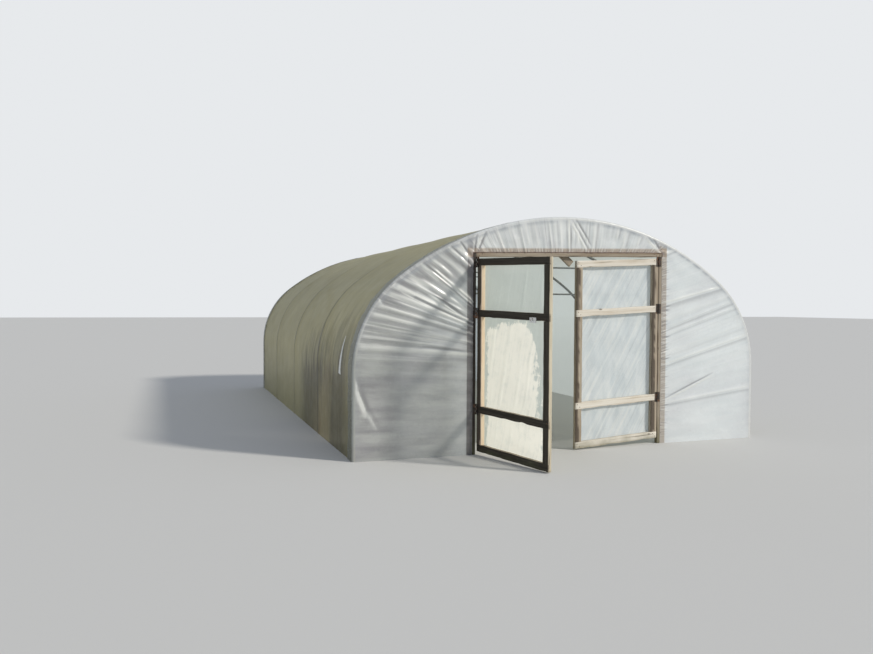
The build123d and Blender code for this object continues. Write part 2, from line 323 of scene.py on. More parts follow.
# Tape on the hoops
# A pale foam strip, stuck along the outer side of each hoop so that hot steel doesn't burn
# the film. It has yellowed, and has grey dirt over it in patches.
TAPE_PALE = (0.66, 0.65, 0.60)
TAPE_DIRTY = (0.42, 0.40, 0.34)
TAPE_PORES_PER_METRE = 700.0

tape_material, tape_tree, tape_shader = new_material("hoop_tape")
tape_place = object_place(tape_tree)
tape_grime = tape_place.noise(22.0, 6.0, 0.65)
tape_skin = tape_grime.spread(0.42, 0.68).blend(TAPE_PALE, TAPE_DIRTY)
tape_pores = tape_place.cells(TAPE_PORES_PER_METRE).bump(0.3, 0.001)
coat(tape_shader, tape_skin, tape_grime.spread(0.3, 0.7, 0.7, 0.9), tape_pores)
dress(tape_material, "hoop_tape")


# Doorway timber: posts, header and brace in front, posts and header behind
# Sawn softwood left in the weather: silvered on its faces, split along the grain, with its
# arrises worn round. Each board is one section carried along a line.
ARRIS, EDGE_POINTS, CORNER_POINTS = 0.0025, 3, 3
STATION = 0.035
WOBBLE, WOBBLE_ACROSS, WOBBLE_DEEP, NIBBLE_LENGTH = 0.0012, 0.35, 0.30, 0.22
WAVE_COUNT = 9
LAP_EDGE, END_ROUND = 0.0004, 0.0015
WOOD_LENGTH, DIRT_EDGE = 40.0, 0.001
SHARP = np.radians(50)
WOOD_SILVER = (0.40, 0.355, 0.285)
WOOD_BROWN = (0.215, 0.155, 0.102)
WOOD_DARK = (0.060, 0.042, 0.030)
WOOD_GREEN = (0.13, 0.135, 0.075)
WOOD_BLACK_SHADE = (0.040, 0.034, 0.031)
TIMBER_SHINE = 0.2
POST_DAMP = 0.45
# How close the grain's marks lie, in each metre along, across and through a board
SWAY_SCALE = (1.6, 7.0, 7.0)
FIBRE_SCALE = (3.0, 190.0, 120.0)
RING_SCALE = (0.9, 62.0, 40.0)
SPLIT_SCALE = (2.2, 85.0, 30.0)
KNOT_SCALE = (3.4, 9.0, 1.5)
SWAY = 0.035
SPLIT_EDGE, SPLIT_DEPTH, KNOT_EDGE = (0.70, 0.76), 0.8, (0.10, 0.05)


def points_of(*parts):
    """Points from their parts along each axis, each an array or one number for all."""
    return np.stack(np.broadcast_arrays(*parts), axis=-1)


def ramp(values, start, length):
    """0 up to the start, rising evenly to 1 over the length, and 1 from there."""
    return np.clip((values - start) / length, 0, 1)


def waves(seed, length, *places):
    """A smooth random height, mostly between -1 and 1.

    The sum of several sine waves over the square root of their count. Each has its own
    direction and phase, and a pitch from half to twice the given length.
    """
    rng = np.random.default_rng(seed)
    total = 0.0
    for _ in range(WAVE_COUNT):
        pitch = 2 * np.pi / (length * 2.0 ** rng.uniform(-1, 1))
        direction = rng.normal(size=len(places))
        direction /= np.linalg.norm(direction)
        travel = sum(d * p for d, p in zip(direction, places))
        total = total + np.sin(travel * pitch + rng.uniform(0, 2 * np.pi))
    return total / np.sqrt(WAVE_COUNT)


def section_ring(radius):
    """A rectangle with round corners, as shares of its sides and set-backs from its corners.

    Each corner is a quarter circle of the radius, and each side between them has a few
    points of its own. A row holds (share across, share deep, set-back across, set-back deep).
    """
    rows = []
    corners = ((0, 0, np.pi), (1, 0, 1.5 * np.pi), (1, 1, 0.0), (0, 1, 0.5 * np.pi))
    for number, (across, deep, start) in enumerate(corners):
        for step in np.linspace(0, np.pi / 2, CORNER_POINTS):
            centre = (radius * (1 - 2 * across), radius * (1 - 2 * deep))
            turn = start + step
            set_back = centre[0] + radius * np.cos(turn), centre[1] + radius * np.sin(turn)
            rows.append((across, deep, *set_back))
        to_across, to_deep, _ = corners[(number + 1) % 4]
        for share in np.linspace(0, 1, EDGE_POINTS + 2)[1:-1]:
            rows.append((across + (to_across - across) * share, deep + (to_deep - deep) * share, 0.0, 0.0))
    return np.array(rows)


def board_points(length, width, depth, seed, front_steps=(), back_steps=(), nibble=0.0):
    """Points of one board in its own frame, along, across and deep, as stations by ring points.

    The section is set at stations along the board. A step is (start, end, cut): between them
    that much is cut from the front or from the back, which makes a half lap. The arrises
    wander by a smooth random amount, and nibble eats into the lower one.
    """
    stations = np.linspace(0, length, max(int(length / STATION), 2) + 1)
    edges = [edge for step in (*front_steps, *back_steps) for edge in step[:2] if 0 < edge < length]
    for edge in edges:
        stations = stations[np.abs(stations - edge) > STATION / 3]
    extra = [edge + offset for edge in edges for offset in (-LAP_EDGE, LAP_EDGE)]
    ends = [0.0, END_ROUND, length - END_ROUND, length]
    stations = np.sort(np.concatenate([stations, extra, ends]))
    stations = stations[np.concatenate([[True], np.diff(stations) > LAP_EDGE / 2])]
    front = np.zeros_like(stations)
    back = np.full_like(stations, depth)
    for start, end, cut in front_steps:
        front = np.where((stations >= start) & (stations <= end), cut, front)
    for start, end, cut in back_steps:
        back = np.where((stations >= start) & (stations <= end), depth - cut, back)
    ring = section_ring(ARRIS)
    across = ring[:, 0] * width + ring[:, 2]
    deep = front[:, None] + ring[:, 1] * (back - front)[:, None] + ring[:, 3]
    across = np.broadcast_to(across, deep.shape).copy()
    place = stations[:, None] + 0 * deep
    around = 3 * ring[:, 0] + 0 * deep
    across += WOBBLE * waves(seed, WOBBLE_ACROSS, place, around)
    deep += 0.5 * WOBBLE * waves(seed + 1, WOBBLE_DEEP, place, around) * (ring[:, 1] < 0.5)
    worn = np.clip(waves(seed + 2, NIBBLE_LENGTH, place, 0 * deep), 0, None) ** 1.5
    across += nibble * worn * (ring[:, 0] < 0.1) * (ring[:, 1] < 0.6)
    at_end = np.minimum(stations, length - stations) < END_ROUND / 2
    end_inset = np.where(at_end, END_ROUND, 0.0)[:, None]
    across += end_inset * (1 - 2 * ring[:, 0])
    deep += end_inset * (1 - 2 * ring[:, 1])
    return points_of(place, across, deep)


def tube_faces(rows, columns):
    """Quads between the rings of a closed section, and one flat face at each end."""
    index = np.arange(rows * columns).reshape(rows, columns)
    around = np.hstack([index, index[:, :1]])
    quads = np.stack([around[:-1, :-1], around[:-1, 1:], around[1:, 1:], around[1:, :-1]], axis=-1)
    return [*quads.reshape(-1, 4).tolist(), index[0][::-1].tolist(), index[-1].tolist()]


def set_attribute(piece, name, values):
    """A vector kept at each point of a piece, for its material to read."""
    stored = piece.data.attributes.new(name, "FLOAT_VECTOR", "POINT")
    stored.data.foreach_set("vector", np.asarray(values, float).ravel())


def turn_outwards(piece):
    """Flips a closed mesh whose signed volume, the sum of its triangles' triple products, is negative."""
    mesh = piece.data
    mesh.calc_loop_triangles()
    corners = np.empty(3 * len(mesh.loop_triangles), int)
    mesh.loop_triangles.foreach_get("vertices", corners)
    places = np.empty(3 * len(mesh.vertices))
    mesh.vertices.foreach_get("co", places)
    first, second, third = places.reshape(-1, 3)[corners].reshape(-1, 3, 3).transpose(1, 0, 2)
    if np.sum((first - places[:3]) * np.cross(second - places[:3], third - places[:3])) < 0:
        mesh.flip_normals()


def fit(piece, material, slot, body, *nodes):
    """Gives a piece its material and its body, and hides the nodes that it stands for. The slot is not used.
    """
    piece.data.materials.append(material)
    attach(piece, body)
    if nodes:
        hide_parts(*nodes)


def board_object(node, own, placed, seed, material, body, face_shade=1.0):
    """A board in place of a CAD node. Its points in its own frame are kept for the grain.

    The grain of each board starts at its own random place in the wood. The last argument is how
    much of the material's painted shade lies on the outer face, for each point or in all.
    """
    piece = mesh_object(f"{node}_board", placed, tube_faces(*own.shape[:2]))
    turn_outwards(piece)
    offset = np.random.default_rng(seed + 100).uniform(0.0, WOOD_LENGTH, 3)
    set_attribute(piece, "grain", own + offset)
    outer_face = (1 - ramp(own[..., 2], ARRIS, DIRT_EDGE)) * face_shade
    set_attribute(piece, "face", points_of(outer_face, 0, 0))
    piece.data.set_sharp_from_angle(angle=SHARP)
    fit(piece, material, "timber", body, node)


def attribute(tree, name):
    """A vector that the piece keeps at each of its points."""
    return Pattern(add_node(tree, "ShaderNodeAttribute", attribute_name=name).outputs["Vector"])


wood_group, (wood_place,), wood_out = new_group(
    "weathered_wood", ("Vector",), ("Tone", "Split", "Knot", "Height")
)
wood_sway = wood_place.stretched(SWAY_SCALE).noise(1.0, 2.0) * SWAY
wood_shift = wood_sway.through("ShaderNodeCombineXYZ", {1: wood_sway})
wood_bent = wood_place.through("ShaderNodeVectorMath", {0: wood_place, 1: wood_shift})
wood_fibre = wood_bent.stretched(FIBRE_SCALE).noise(1.0, 5.0, 0.62)
wood_rings = wood_bent.stretched(RING_SCALE).noise(1.0, 2.0, 0.4)
wood_tone = (wood_fibre + wood_rings) * 0.5
wood_split = wood_bent.stretched(SPLIT_SCALE).noise(1.0, 1.0, 0.3).spread(*SPLIT_EDGE)
wood_knot = wood_place.stretched(KNOT_SCALE).cells(1.0).spread(*KNOT_EDGE)
wood_height = wood_tone - wood_split * SPLIT_DEPTH
fill(wood_out, {"Tone": wood_tone, "Split": wood_split, "Knot": wood_knot, "Height": wood_height})


def timber_material(name, silver, brown, damp_height, shade_colour=None):
    """Weathered softwood: grain along each board, splits, knots, and a green damp foot.

    Where a shade colour is given, it is painted over the outer face of the boards as painted shade.
    """
    material, tree, shader = new_material(name)
    wood = use_group(tree, wood_group, Vector=attribute(tree, "grain"))
    tone, place = wood["Tone"], object_place(tree)
    bleached = place.noise(3.5, 4.0, 0.6)
    body = tone.spread(0.36, 0.62).blend(brown, silver)
    body = bleached.spread(0.38, 0.70, 0.0, 0.45).blend(body, silver)
    # Painted shade: the given colour is laid over the boards' outer face, as if that face stood in shade.
    if shade_colour:
        face_shade_mask = attribute(tree, "face").parts()[0] * tone.spread(0.30, 0.72, 1.0, 0.87)
        body = face_shade_mask.blend(body, shade_colour)
    body = (wood["Knot"] * 0.75).blend(body, WOOD_DARK)
    body = (wood["Split"] * 0.85).blend(body, WOOD_DARK)
    damp_line = place.parts()[2] + bleached * 0.25
    body = damp_line.spread(damp_height, 0.1, 0.0, 0.75).blend(body, WOOD_GREEN)
    coat(shader, body, tone.spread(0.3, 0.7, 0.9, 0.72), wood["Height"].bump(0.55, 0.0022))
    fill(shader, {"Specular IOR Level": TIMBER_SHINE})
    return material


timber = timber_material("timber", WOOD_SILVER, WOOD_BROWN, POST_DAMP)
# The front left post's outer face is painted near black: painted shade, for the shadow of the open left leaf.
shaded_black_timber = timber_material("shaded_black_post_timber", WOOD_SILVER, WOOD_BROWN, POST_DAMP, WOOD_BLACK_SHADE)

ARCH_HALF, ARCH_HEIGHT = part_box("main_cover")[1][0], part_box("main_cover")[1][2]
LEG_HEIGHT = 0.870
SHOULDER_RADIUS = 1.245
SHOULDER_X = ARCH_HALF - SHOULDER_RADIUS
ARCH_RISE = ARCH_HEIGHT - LEG_HEIGHT
CROWN_RADIUS = (SHOULDER_X**2 + ARCH_RISE**2 - SHOULDER_RADIUS**2) / (2 * (ARCH_RISE - SHOULDER_RADIUS))
CROWN_Z = ARCH_HEIGHT - CROWN_RADIUS
SHOULDER_TURN = np.arctan2(LEG_HEIGHT - CROWN_Z, SHOULDER_X)
SHOULDER_ARC = SHOULDER_RADIUS * SHOULDER_TURN
ARCH_LENGTH = 2 * (LEG_HEIGHT + SHOULDER_ARC + CROWN_RADIUS * (np.pi / 2 - SHOULDER_TURN))


def arch_height(x):
    """Height of the crown's arc at a place across the tunnel."""
    return CROWN_Z + np.sqrt(CROWN_RADIUS**2 - np.square(x))


for end, out in (("front", -1), ("rear", 1)):
    for side in ("left", "right"):
        node = f"{end}_{side}_post"
        low, high = np.array(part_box(node))
        own = board_points(high[2], high[0] - low[0], high[1] - low[1], len(node) * 7 + out)
        inner_edge = high[0] if side == "left" else low[0]
        cut = arch_height(low[0] + own[..., 1]) - arch_height(inner_edge) + high[2]
        own[..., 0] *= cut / high[2]
        face_y = low[1] if out < 0 else high[1]
        placed = points_of(low[0] + own[..., 1], face_y - out * own[..., 2], own[..., 0])
        # The front left post gets the finish with painted shade on its face.
        shade = timber if node != "front_left_post" else shaded_black_timber
        board_object(node, own, placed, len(node) + out, shade, "frame")

HEADER_CLIMB, HEADER_NIBBLE = 0.052, 0.003
for node, out, climb, seed in (("door_header", -1, HEADER_CLIMB, 31), ("rear_header", 1, 0.0, 32)):
    low, high = np.array(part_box(node))
    length, width = high[0] - low[0], high[2] - low[2] - climb
    own = board_points(length, width, high[1] - low[1], seed, nibble=HEADER_NIBBLE)
    face_y = low[1] if out < 0 else high[1]
    rise = low[2] + climb * own[..., 0] / length
    placed = points_of(low[0] + own[..., 0], face_y - out * own[..., 2], rise + own[..., 1])
    board_object(node, own, placed, seed, timber, "frame")

BRACE_ANGLE = np.radians(40)
BRACE_WIDTH, BRACE_THICKNESS = 0.078, 0.025
brace_low, brace_high = np.array(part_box("header_brace"))
brace_length = (brace_high[0] - brace_low[0] - BRACE_WIDTH * np.sin(BRACE_ANGLE)) / np.cos(BRACE_ANGLE)
brace_along = np.array((np.cos(BRACE_ANGLE), 0, -np.sin(BRACE_ANGLE)))
brace_across = np.array((np.sin(BRACE_ANGLE), 0, np.cos(BRACE_ANGLE)))
own = board_points(brace_length, BRACE_WIDTH, BRACE_THICKNESS, 41)
from_middle = own - np.array((brace_length, BRACE_WIDTH, BRACE_THICKNESS)) / 2
brace_axes = np.array([brace_along, brace_across, (0, 1, 0)])
brace_placed = (brace_low + brace_high) / 2 + from_middle @ brace_axes
board_object("header_brace", own, brace_placed, 41, timber, "frame")


# Main cover
# One sheet of greenhouse film pulled over all five hoops and buried along both sides. The
# shaded left side has gone khaki with old dirt, and the sunny side has washed cleaner.
COVER_INSET = 0.0015
COVER_COLUMNS, COVER_ROWS = 361, 261
BAY_LENGTH = (REAR_Y - FRONT_Y) / (len(HOOPS) - 1)
SHOULDER_SAG, CROWN_SAG, LEG_SAG = 0.009, 0.004, 0.003
FILM_KHAKI = (0.495, 0.442, 0.230)
FILM_KHAKI_DARK = (0.435, 0.390, 0.203)
FILM_OLIVE = (0.375, 0.330, 0.165)
FILM_STRAW = (0.58, 0.53, 0.32)
KHAKI_GLOW = (0.78, 0.72, 0.42)
FILM_CLEAN = (0.74, 0.76, 0.74)
CLEAN_GLOW = (0.74, 0.86, 0.94)
FILM_ALGAE = (0.165, 0.160, 0.095)
FILM_BROWN = (0.104, 0.090, 0.052)
BROWN_GLOW = (0.200, 0.172, 0.100)
HOOP_SHADE = (0.100, 0.095, 0.068)
COVER_GLOWS = (0.24, 0.55)
END_RIPPLE, END_RIPPLE_LENGTH, END_RIPPLE_REACH = 0.0022, 0.13, 0.5
END_RIPPLE_SLANT, END_RIPPLE_DRIFT = 0.6, 0.15
SLOW_RIPPLE, SLOW_RIPPLE_LENGTH, SLOW_RIPPLE_DRIFT, RIPPLE_INSET = 0.0014, 0.5, 0.4, 0.004
SAG_FROM_GROUND = 0.25
# Where a change of colour begins and where it is full: across from the middle, up from the
# ground, back from the front hoop, or out from any hoop
CLEANER = (-1.1, 1.7)
ALGAE_DOWN = (1.35, 0.40)
DARK_PATCH_DOWN = (1.60, 1.00)
DARK_PATCH_BACK = (0.05, 0.50)
DARK_PATCH_END = (3.35, 2.70)
HOOP_LINE = (0.013, 0.021)


def arch(distance):
    """Place (x, z) and outward direction on the arch, by the distance along it from the left foot.

    A straight leg, an arc of the shoulder's radius and half the crown's arc, then the same
    mirrored. The outward direction turns with the arc.
    """
    near = np.minimum(distance, ARCH_LENGTH - distance)
    side = np.where(distance > ARCH_LENGTH / 2, 1.0, -1.0)
    on_shoulder = np.clip((near - LEG_HEIGHT) / SHOULDER_RADIUS, 0, SHOULDER_TURN)
    on_crown = np.clip((near - LEG_HEIGHT - SHOULDER_ARC) / CROWN_RADIUS, 0, None)
    turn = on_shoulder + on_crown
    crown = on_crown > 0
    x = np.where(crown, CROWN_RADIUS * np.cos(turn), SHOULDER_X + SHOULDER_RADIUS * np.cos(turn))
    z = np.where(crown, CROWN_Z + CROWN_RADIUS * np.sin(turn), LEG_HEIGHT + SHOULDER_RADIUS * np.sin(turn))
    z = np.where(near < LEG_HEIGHT, near, z)
    return side * x, z, side * np.cos(turn), np.sin(turn)


def grid_faces(rows, columns):
    """Quads between neighbouring points of an open grid."""
    index = np.arange(rows * columns).reshape(rows, columns)
    quads = np.stack([index[:-1, :-1], index[:-1, 1:], index[1:, 1:], index[1:, :-1]], axis=-1)
    return quads.reshape(-1, 4).tolist()


film_group, (film_place, film_run_length), film_out = new_group(
    "film_weather", ("Vector", "Run Length"), ("Dirt", "Streak", "Gloss", "Height")
)
film_x, film_y, film_z = film_place.parts()
film_run = film_x.through("ShaderNodeCombineXYZ", {0: film_x, 1: film_y / film_run_length, 2: film_z})
film_dirt, film_streak = film_place.noise(1.1, 8.0, 0.62), film_run.noise(9.0, 5.0, 0.6)
film_scuff = film_place.noise(5.0, 6.0, 0.65)
film_height = film_scuff + film_run.noise(26.0, 3.0, 0.5) * 0.6
fill(film_out, {"Dirt": film_dirt, "Streak": film_streak, "Gloss": film_scuff, "Height": film_height})


def film_material(name, colours, see_through, run_length, gloss, crease, sunlight=None):
    """Greenhouse film: a glossy skin that also lets light through.

    colours gives, from the film's weathering, the skin's colour, the colour of the light that
    comes through, and the share of it. The skin is mixed with a Translucent shader by that
    share, and then with clear film by the share see_through.
    Where a colour is given as sunlight, that much of the sun goes straight on to what is behind.
    """
    material, tree, shader = new_material(name)
    place = attribute(tree, "film")
    weather = use_group(tree, film_group, Vector=place, Run_Length=run_length)
    skin, glow, glow_share = colours(tree, place, weather)
    normal = weather["Height"].bump(0.5, crease)
    coat(shader, skin, weather["Gloss"].spread(0.3, 0.7, *gloss), normal)
    through = add_node(tree, "ShaderNodeBsdfTranslucent", {"Color": glow})
    body = mixed(tree, glow_share, shader, through)
    whole = mixed(tree, see_through, body, add_node(tree, "ShaderNodeBsdfTransparent"))
    if sunlight:
        beam = add_node(tree, "ShaderNodeBsdfTransparent", {"Color": colour(sunlight)})
        to_lamp = add_node(tree, "ShaderNodeLightPath").outputs["Is Shadow Ray"]
        whole = mixed(tree, to_lamp, whole, beam)
    fill(tree.get_output_node("ALL"), {0: whole.outputs[0]})
    return material


def cover_colours(tree, place, weather):
    """Khaki film, cleaner to the right, greener low down, and with a line of painted shade where a hoop lies
    behind it.

    Low on the left near the front the film is dark brown, with a ragged top that runs down in streaks.
    """
    own, streak = object_place(tree), weather["Streak"]
    x, y, z = own.parts()
    dirty = (x + (own.noise(0.7, 3.0) - 0.5) * 1.4).spread(*CLEANER, 1.0, 0.22)
    khaki = streak.spread(0.34, 0.62).blend(FILM_KHAKI_DARK, FILM_KHAKI)
    clouds = own.noise(1.7, 6.0, 0.62)
    khaki = clouds.spread(0.50, 0.66, 0.0, 0.65).blend(khaki, FILM_OLIVE)
    khaki = clouds.spread(0.44, 0.30, 0.0, 0.55).blend(khaki, FILM_STRAW)
    skin = dirty.blend(FILM_CLEAN, khaki)
    skin = (z + weather["Dirt"] * 0.7).spread(*ALGAE_DOWN, 0.0, 0.78).blend(skin, FILM_ALGAE)
    from_front = y - FRONT_Y
    ragged = own.noise(1.5, 5.0, 0.5) - 0.5
    dark_patch_top = z + from_front * 0.15 + ragged * 0.6 + (streak - 0.5) * 0.9
    dark_patch = dark_patch_top.spread(*DARK_PATCH_DOWN, 0.0, 0.91) * streak.spread(0.38, 0.62, 1.0, 0.82)
    dark_patch *= (from_front + ragged * 0.5).spread(*DARK_PATCH_END)
    dark_patch *= from_front.spread(*DARK_PATCH_BACK, 0.35, 1.0)
    dark_patch *= x.spread(1.0, -1.0)
    skin = dark_patch.blend(skin, FILM_BROWN)
    # Painted shade: a dark line where each hoop lies behind the film.
    from_hoop = (y - (FRONT_Y - 2 * BAY_LENGTH)).sums("PINGPONG", BAY_LENGTH / 2)
    line = from_hoop.spread(*HOOP_LINE, 1.0, 0.0) * dirty * z.spread(ARCH_HEIGHT - 0.2, 1.5, 0.15, 0.95)
    glow = dark_patch.blend(dirty.blend(CLEAN_GLOW, KHAKI_GLOW), BROWN_GLOW)
    return line.blend(skin, HOOP_SHADE), glow, (1.0 - dirty).between(*COVER_GLOWS)


def cover_points(run, y, proud=0.0):
    """Points of the stretched cover.

    It is inset from the arch by a sag that is greatest midway between two hoops, and by
    ripples that run slantwise out of the end hoops and die away.
    """
    x, z, out_x, out_z = arch(run)
    bay_share = np.mod((y - FRONT_Y) / BAY_LENGTH, 1.0)
    held = 4 * bay_share * (1 - bay_share)
    sag = LEG_SAG + (CROWN_SAG - LEG_SAG) * np.clip(out_z, 0, 1) ** 2
    sag = np.maximum(sag, SHOULDER_SAG * np.sin(np.pi * np.clip(z / ARCH_HEIGHT, 0, 1) ** 1.6))
    pull = np.exp(-(y - FRONT_Y) / END_RIPPLE_REACH) + np.exp(-(REAR_Y - y) / END_RIPPLE_REACH)
    slanting = run + END_RIPPLE_SLANT * y
    ripples = END_RIPPLE * waves(5, END_RIPPLE_LENGTH, slanting, END_RIPPLE_DRIFT * y) * pull
    ripples = ripples + SLOW_RIPPLE * waves(6, SLOW_RIPPLE_LENGTH, run, SLOW_RIPPLE_DRIFT * y)
    ripples = ripples + RIPPLE_INSET
    inset = COVER_INSET + sag * ramp(z, 0.0, SAG_FROM_GROUND) * held
    inset = inset + ripples * np.clip(held * 4, 0, 1) - proud
    return points_of(x - out_x * inset, y, np.maximum(z - out_z * inset, 0.0))


cover_film = film_material(
    "cover_film", cover_colours, see_through=0.05, run_length=5.0, gloss=(0.34, 0.50), crease=0.0025
)
cover_y = np.linspace(FRONT_Y, REAR_Y, COVER_COLUMNS)[None, :]
cover_run = np.linspace(0, ARCH_LENGTH, COVER_ROWS)[:, None]
cover_grid = cover_points(cover_run, cover_y)
cover_sheet = mesh_object("cover_sheet", cover_grid, grid_faces(COVER_ROWS, COVER_COLUMNS))
set_attribute(cover_sheet, "film", points_of(cover_y, cover_run, 0.0))
fit(cover_sheet, cover_film, "cover_film", "frame", "main_cover")


# Front film
# The end sheet is stapled in gathers along the posts and header, drawn over the front hoop
# and lapped back on to the cover. The gathers run out from the timber as long pleats.
HOOP_RADIUS = (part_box("front_hoop")[1][1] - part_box("front_hoop")[0][1]) / 2
FILM_REACH = ARCH_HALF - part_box("front_hoop")[1][0] + HOOP_RADIUS
END_RADIUS = 0.0221
LAP_RADIUS = 0.0243
LAP_LENGTH = 0.16
ROLL_LENGTH = END_RADIUS * np.pi / 2
END_COLUMNS = 1250
EDGE_ROWS = (0.0, 0.005, 0.010, 0.016, 0.023, 0.031, 0.040, 0.050, 0.060, 0.070, 0.082)
FLAT_ROWS, ROLL_ROWS, LAP_ROWS = 54, 6, 5
POST_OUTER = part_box("front_right_post")[1][0]
POST_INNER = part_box("front_right_post")[0][0]
FILM_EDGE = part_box("front_film_right")[0][0]
EDGE_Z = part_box("front_film_top")[0][2]
HEADER_SLOPE = HEADER_CLIMB / (2 * POST_INNER)
HEADER_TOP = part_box("door_header")[1][2] - HEADER_CLIMB / 2
HEADER_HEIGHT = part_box("door_header")[1][2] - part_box("door_header")[0][2] - HEADER_CLIMB
CORNER_LEFT, CORNER_RIGHT = EDGE_Z, EDGE_Z + 2 * FILM_EDGE * HEADER_SLOPE
CORNER_RUN = 2.78
# Where a pleat leaves the timber, up the post from the ground, and where it meets the hoop,
# along the arch from its foot
LEFT_PLEATS = ((0.0, 0.0), (1.06, 1.17), (1.385, 1.90), (1.56, 2.27), (1.93, 2.62))
RIGHT_PLEATS = ((0.0, 0.0), (0.45, 0.62), (0.89, 1.25), (1.30, 1.71), (1.60, 1.95))
# Folds that cross the pleats: from (x, z), to (x, z), half width and height
CROSS_FOLDS = (
    ((-0.036, 2.530), (-0.032, 2.120), 0.011, 0.007),
    ((-0.045, 2.530), (0.215, 2.110), 0.018, 0.011),
    ((0.000, 2.540), (0.230, 2.200), 0.014, 0.008),
    ((0.880, 2.400), (1.165, 2.120), 0.017, 0.010),
    ((0.980, 2.370), (1.175, 2.110), 0.013, 0.008),
    ((-1.020, 2.380), (-1.150, 2.090), 0.015, 0.009),
    ((-1.130, 2.350), (-1.160, 2.090), 0.012, 0.007),
    ((-1.460, 2.200), (-1.215, 1.980), 0.014, 0.009),
    ((-1.350, 2.260), (-1.200, 2.060), 0.013, 0.008),
    ((-1.740, 2.000), (-1.525, 1.815), 0.016, 0.010),
    ((-1.560, 1.845), (-1.240, 1.600), 0.008, 0.005),
    ((-2.095, 1.812), (-1.785, 1.655), 0.028, 0.012),
    ((-1.870, 1.862), (-1.630, 1.747), 0.024, 0.006),
    ((-2.210, 1.680), (-2.130, 1.570), 0.018, 0.008),
    ((-1.650, 1.685), (-1.225, 1.402), 0.017, 0.009),
    ((-1.950, 1.700), (-1.230, 1.370), 0.012, 0.006),
    ((-2.425, 0.860), (-2.300, 0.430), 0.022, 0.006),
    ((-2.425, 0.740), (-2.180, 0.300), 0.020, 0.004),
    ((-1.720, 1.118), (-1.200, 1.055), 0.016, 0.008),
    ((1.215, 0.490), (1.900, 0.778), 0.011, 0.009),
)
FILM_SILVER = (0.77, 0.82, 0.84)
FILM_WHITE = (0.93, 0.955, 0.96)
FILM_SUNLIT = (0.92, 0.965, 0.985)
FILM_IN_SHADE = (0.300, 0.298, 0.315)
FILM_IN_SHADE_PALE = (0.500, 0.515, 0.500)
FILM_FOLD_HIGHLIGHT = (0.95, 0.96, 0.925)
FILM_SHADE = (0.29, 0.285, 0.305)
FILM_LAVENDER = (0.60, 0.57, 0.62)
FILM_ON_TAPE = (0.86, 0.875, 0.85)
FILM_ON_LEG_IN_SHADE = (0.50, 0.52, 0.48)
LAP_ON_KHAKI = (0.36, 0.345, 0.250)
LAP_ON_LEG = (0.170, 0.170, 0.125)
LAP_ON_CLEAN = (0.70, 0.72, 0.69)
FILM_HOOP_SHADOW = (0.42, 0.455, 0.50)
FILM_ON_POST = (0.53, 0.460, 0.380)
FILM_ON_SHADED_POST = (0.165, 0.150, 0.155)
FILM_ON_HEADER = (0.50, 0.395, 0.300)
FILM_HEM = (0.165, 0.090, 0.070)
END_GLOW, END_GLOW_SHARE = (0.82, 0.885, 0.93), 0.30
# How far in from the hoop a pleat's height and its tone fade, and what is left of them there
RIM_FADE, RIM_LEAST = 0.16, 0.15
RIM_TONE_FADE, RIM_TONE_LEAST = 0.03, 0.25
FOOT_FADE, PLEAT_GROW = 0.2, 0.25
# How far from its crest a ridge reaches, and how far from it the hollow lies, in half widths.
# Then how light the painted highlight on the crest and how dark the painted shade in the hollow is, and the
# height at which both are full
RIDGE_REACH, PLEAT_HOLLOW, FOLD_HOLLOW = 5, 1.7, 1.8
PLEAT_DARK, PLEAT_FULL = 0.9, 0.010
FOLD_LIGHT, FOLD_DARK, FOLD_FULL = 1.3, 1.2, 0.007
SWELL, DISH = 0.003, 0.002
# What a pleat keeps of its height at the end of the roll, and what its tone loses on the lap
ROLL_KEEPS, LAP_TONE_LOSS = 0.35, 0.7
LAP_WANDER, LAP_WANDER_LENGTH = 0.10, 0.4
CURL, CURL_LENGTH = 0.0035, 0.15
# How far the timber's brown runs past the edges of the posts and the header
EDGE_BLUR, POST_FADE = 0.002, 0.05
HEADER_ABOVE, HEADER_WITHIN, HEADER_BELOW = 0.014, 0.004, 0.005
# Where a change of colour begins and where it is full: across from the middle, up from the
# ground, in from the hoop's centre line, or out from the sheet's own inner edge
# The left panel's painted shade, for the dark inside behind it: full far out, high and low, and kept off near
# the post, which is left lighter to offset the shadow of the open left leaf
SHADE_FROM_POST, SHADE_FAR_OUT = (-1.10, -1.45), (-1.45, -2.05)
SHADE_UP, SHADE_DOWN = (1.60, 1.85), (1.20, 1.00)
SUNLIT_OUT = (0.9, 1.5)
LINED_LEFT, LINED_UP = (0.9, -1.2), (0.95, 1.15)
CALM_IN, CALM_OUT = (-1.70, -1.40), (-1.10, -1.16)
LEG_DOWN, SHOULDER_UP, HIGH_UP = (1.4, 1.0), (1.1, 1.5), (1.2, 2.0)
RIM_INNER, RIM_OUTER = (0.060, 0.030), (0.010, 0.020)
TAPE_RIM, LAP_RIM = (0.014, 0.006), (-0.024, -0.034)
HEM_WIDTH = (0.011, 0.007)
LINE_SCALE = (34.0, 0.8, 1.0)


def film_rim(run):
    """Where an end sheet's flat part ends, on the hoop's centre line: (x, z) by place on the arch."""
    x, z, out_x, out_z = arch(run)
    return points_of(x - out_x * FILM_REACH, z - out_z * FILM_REACH)


def ridge_at(offset):
    """A rounded ridge exp(-|x|^1.5), 1 on its crest, by the distance from there in half widths."""
    return np.exp(-np.abs(offset) ** 1.5)


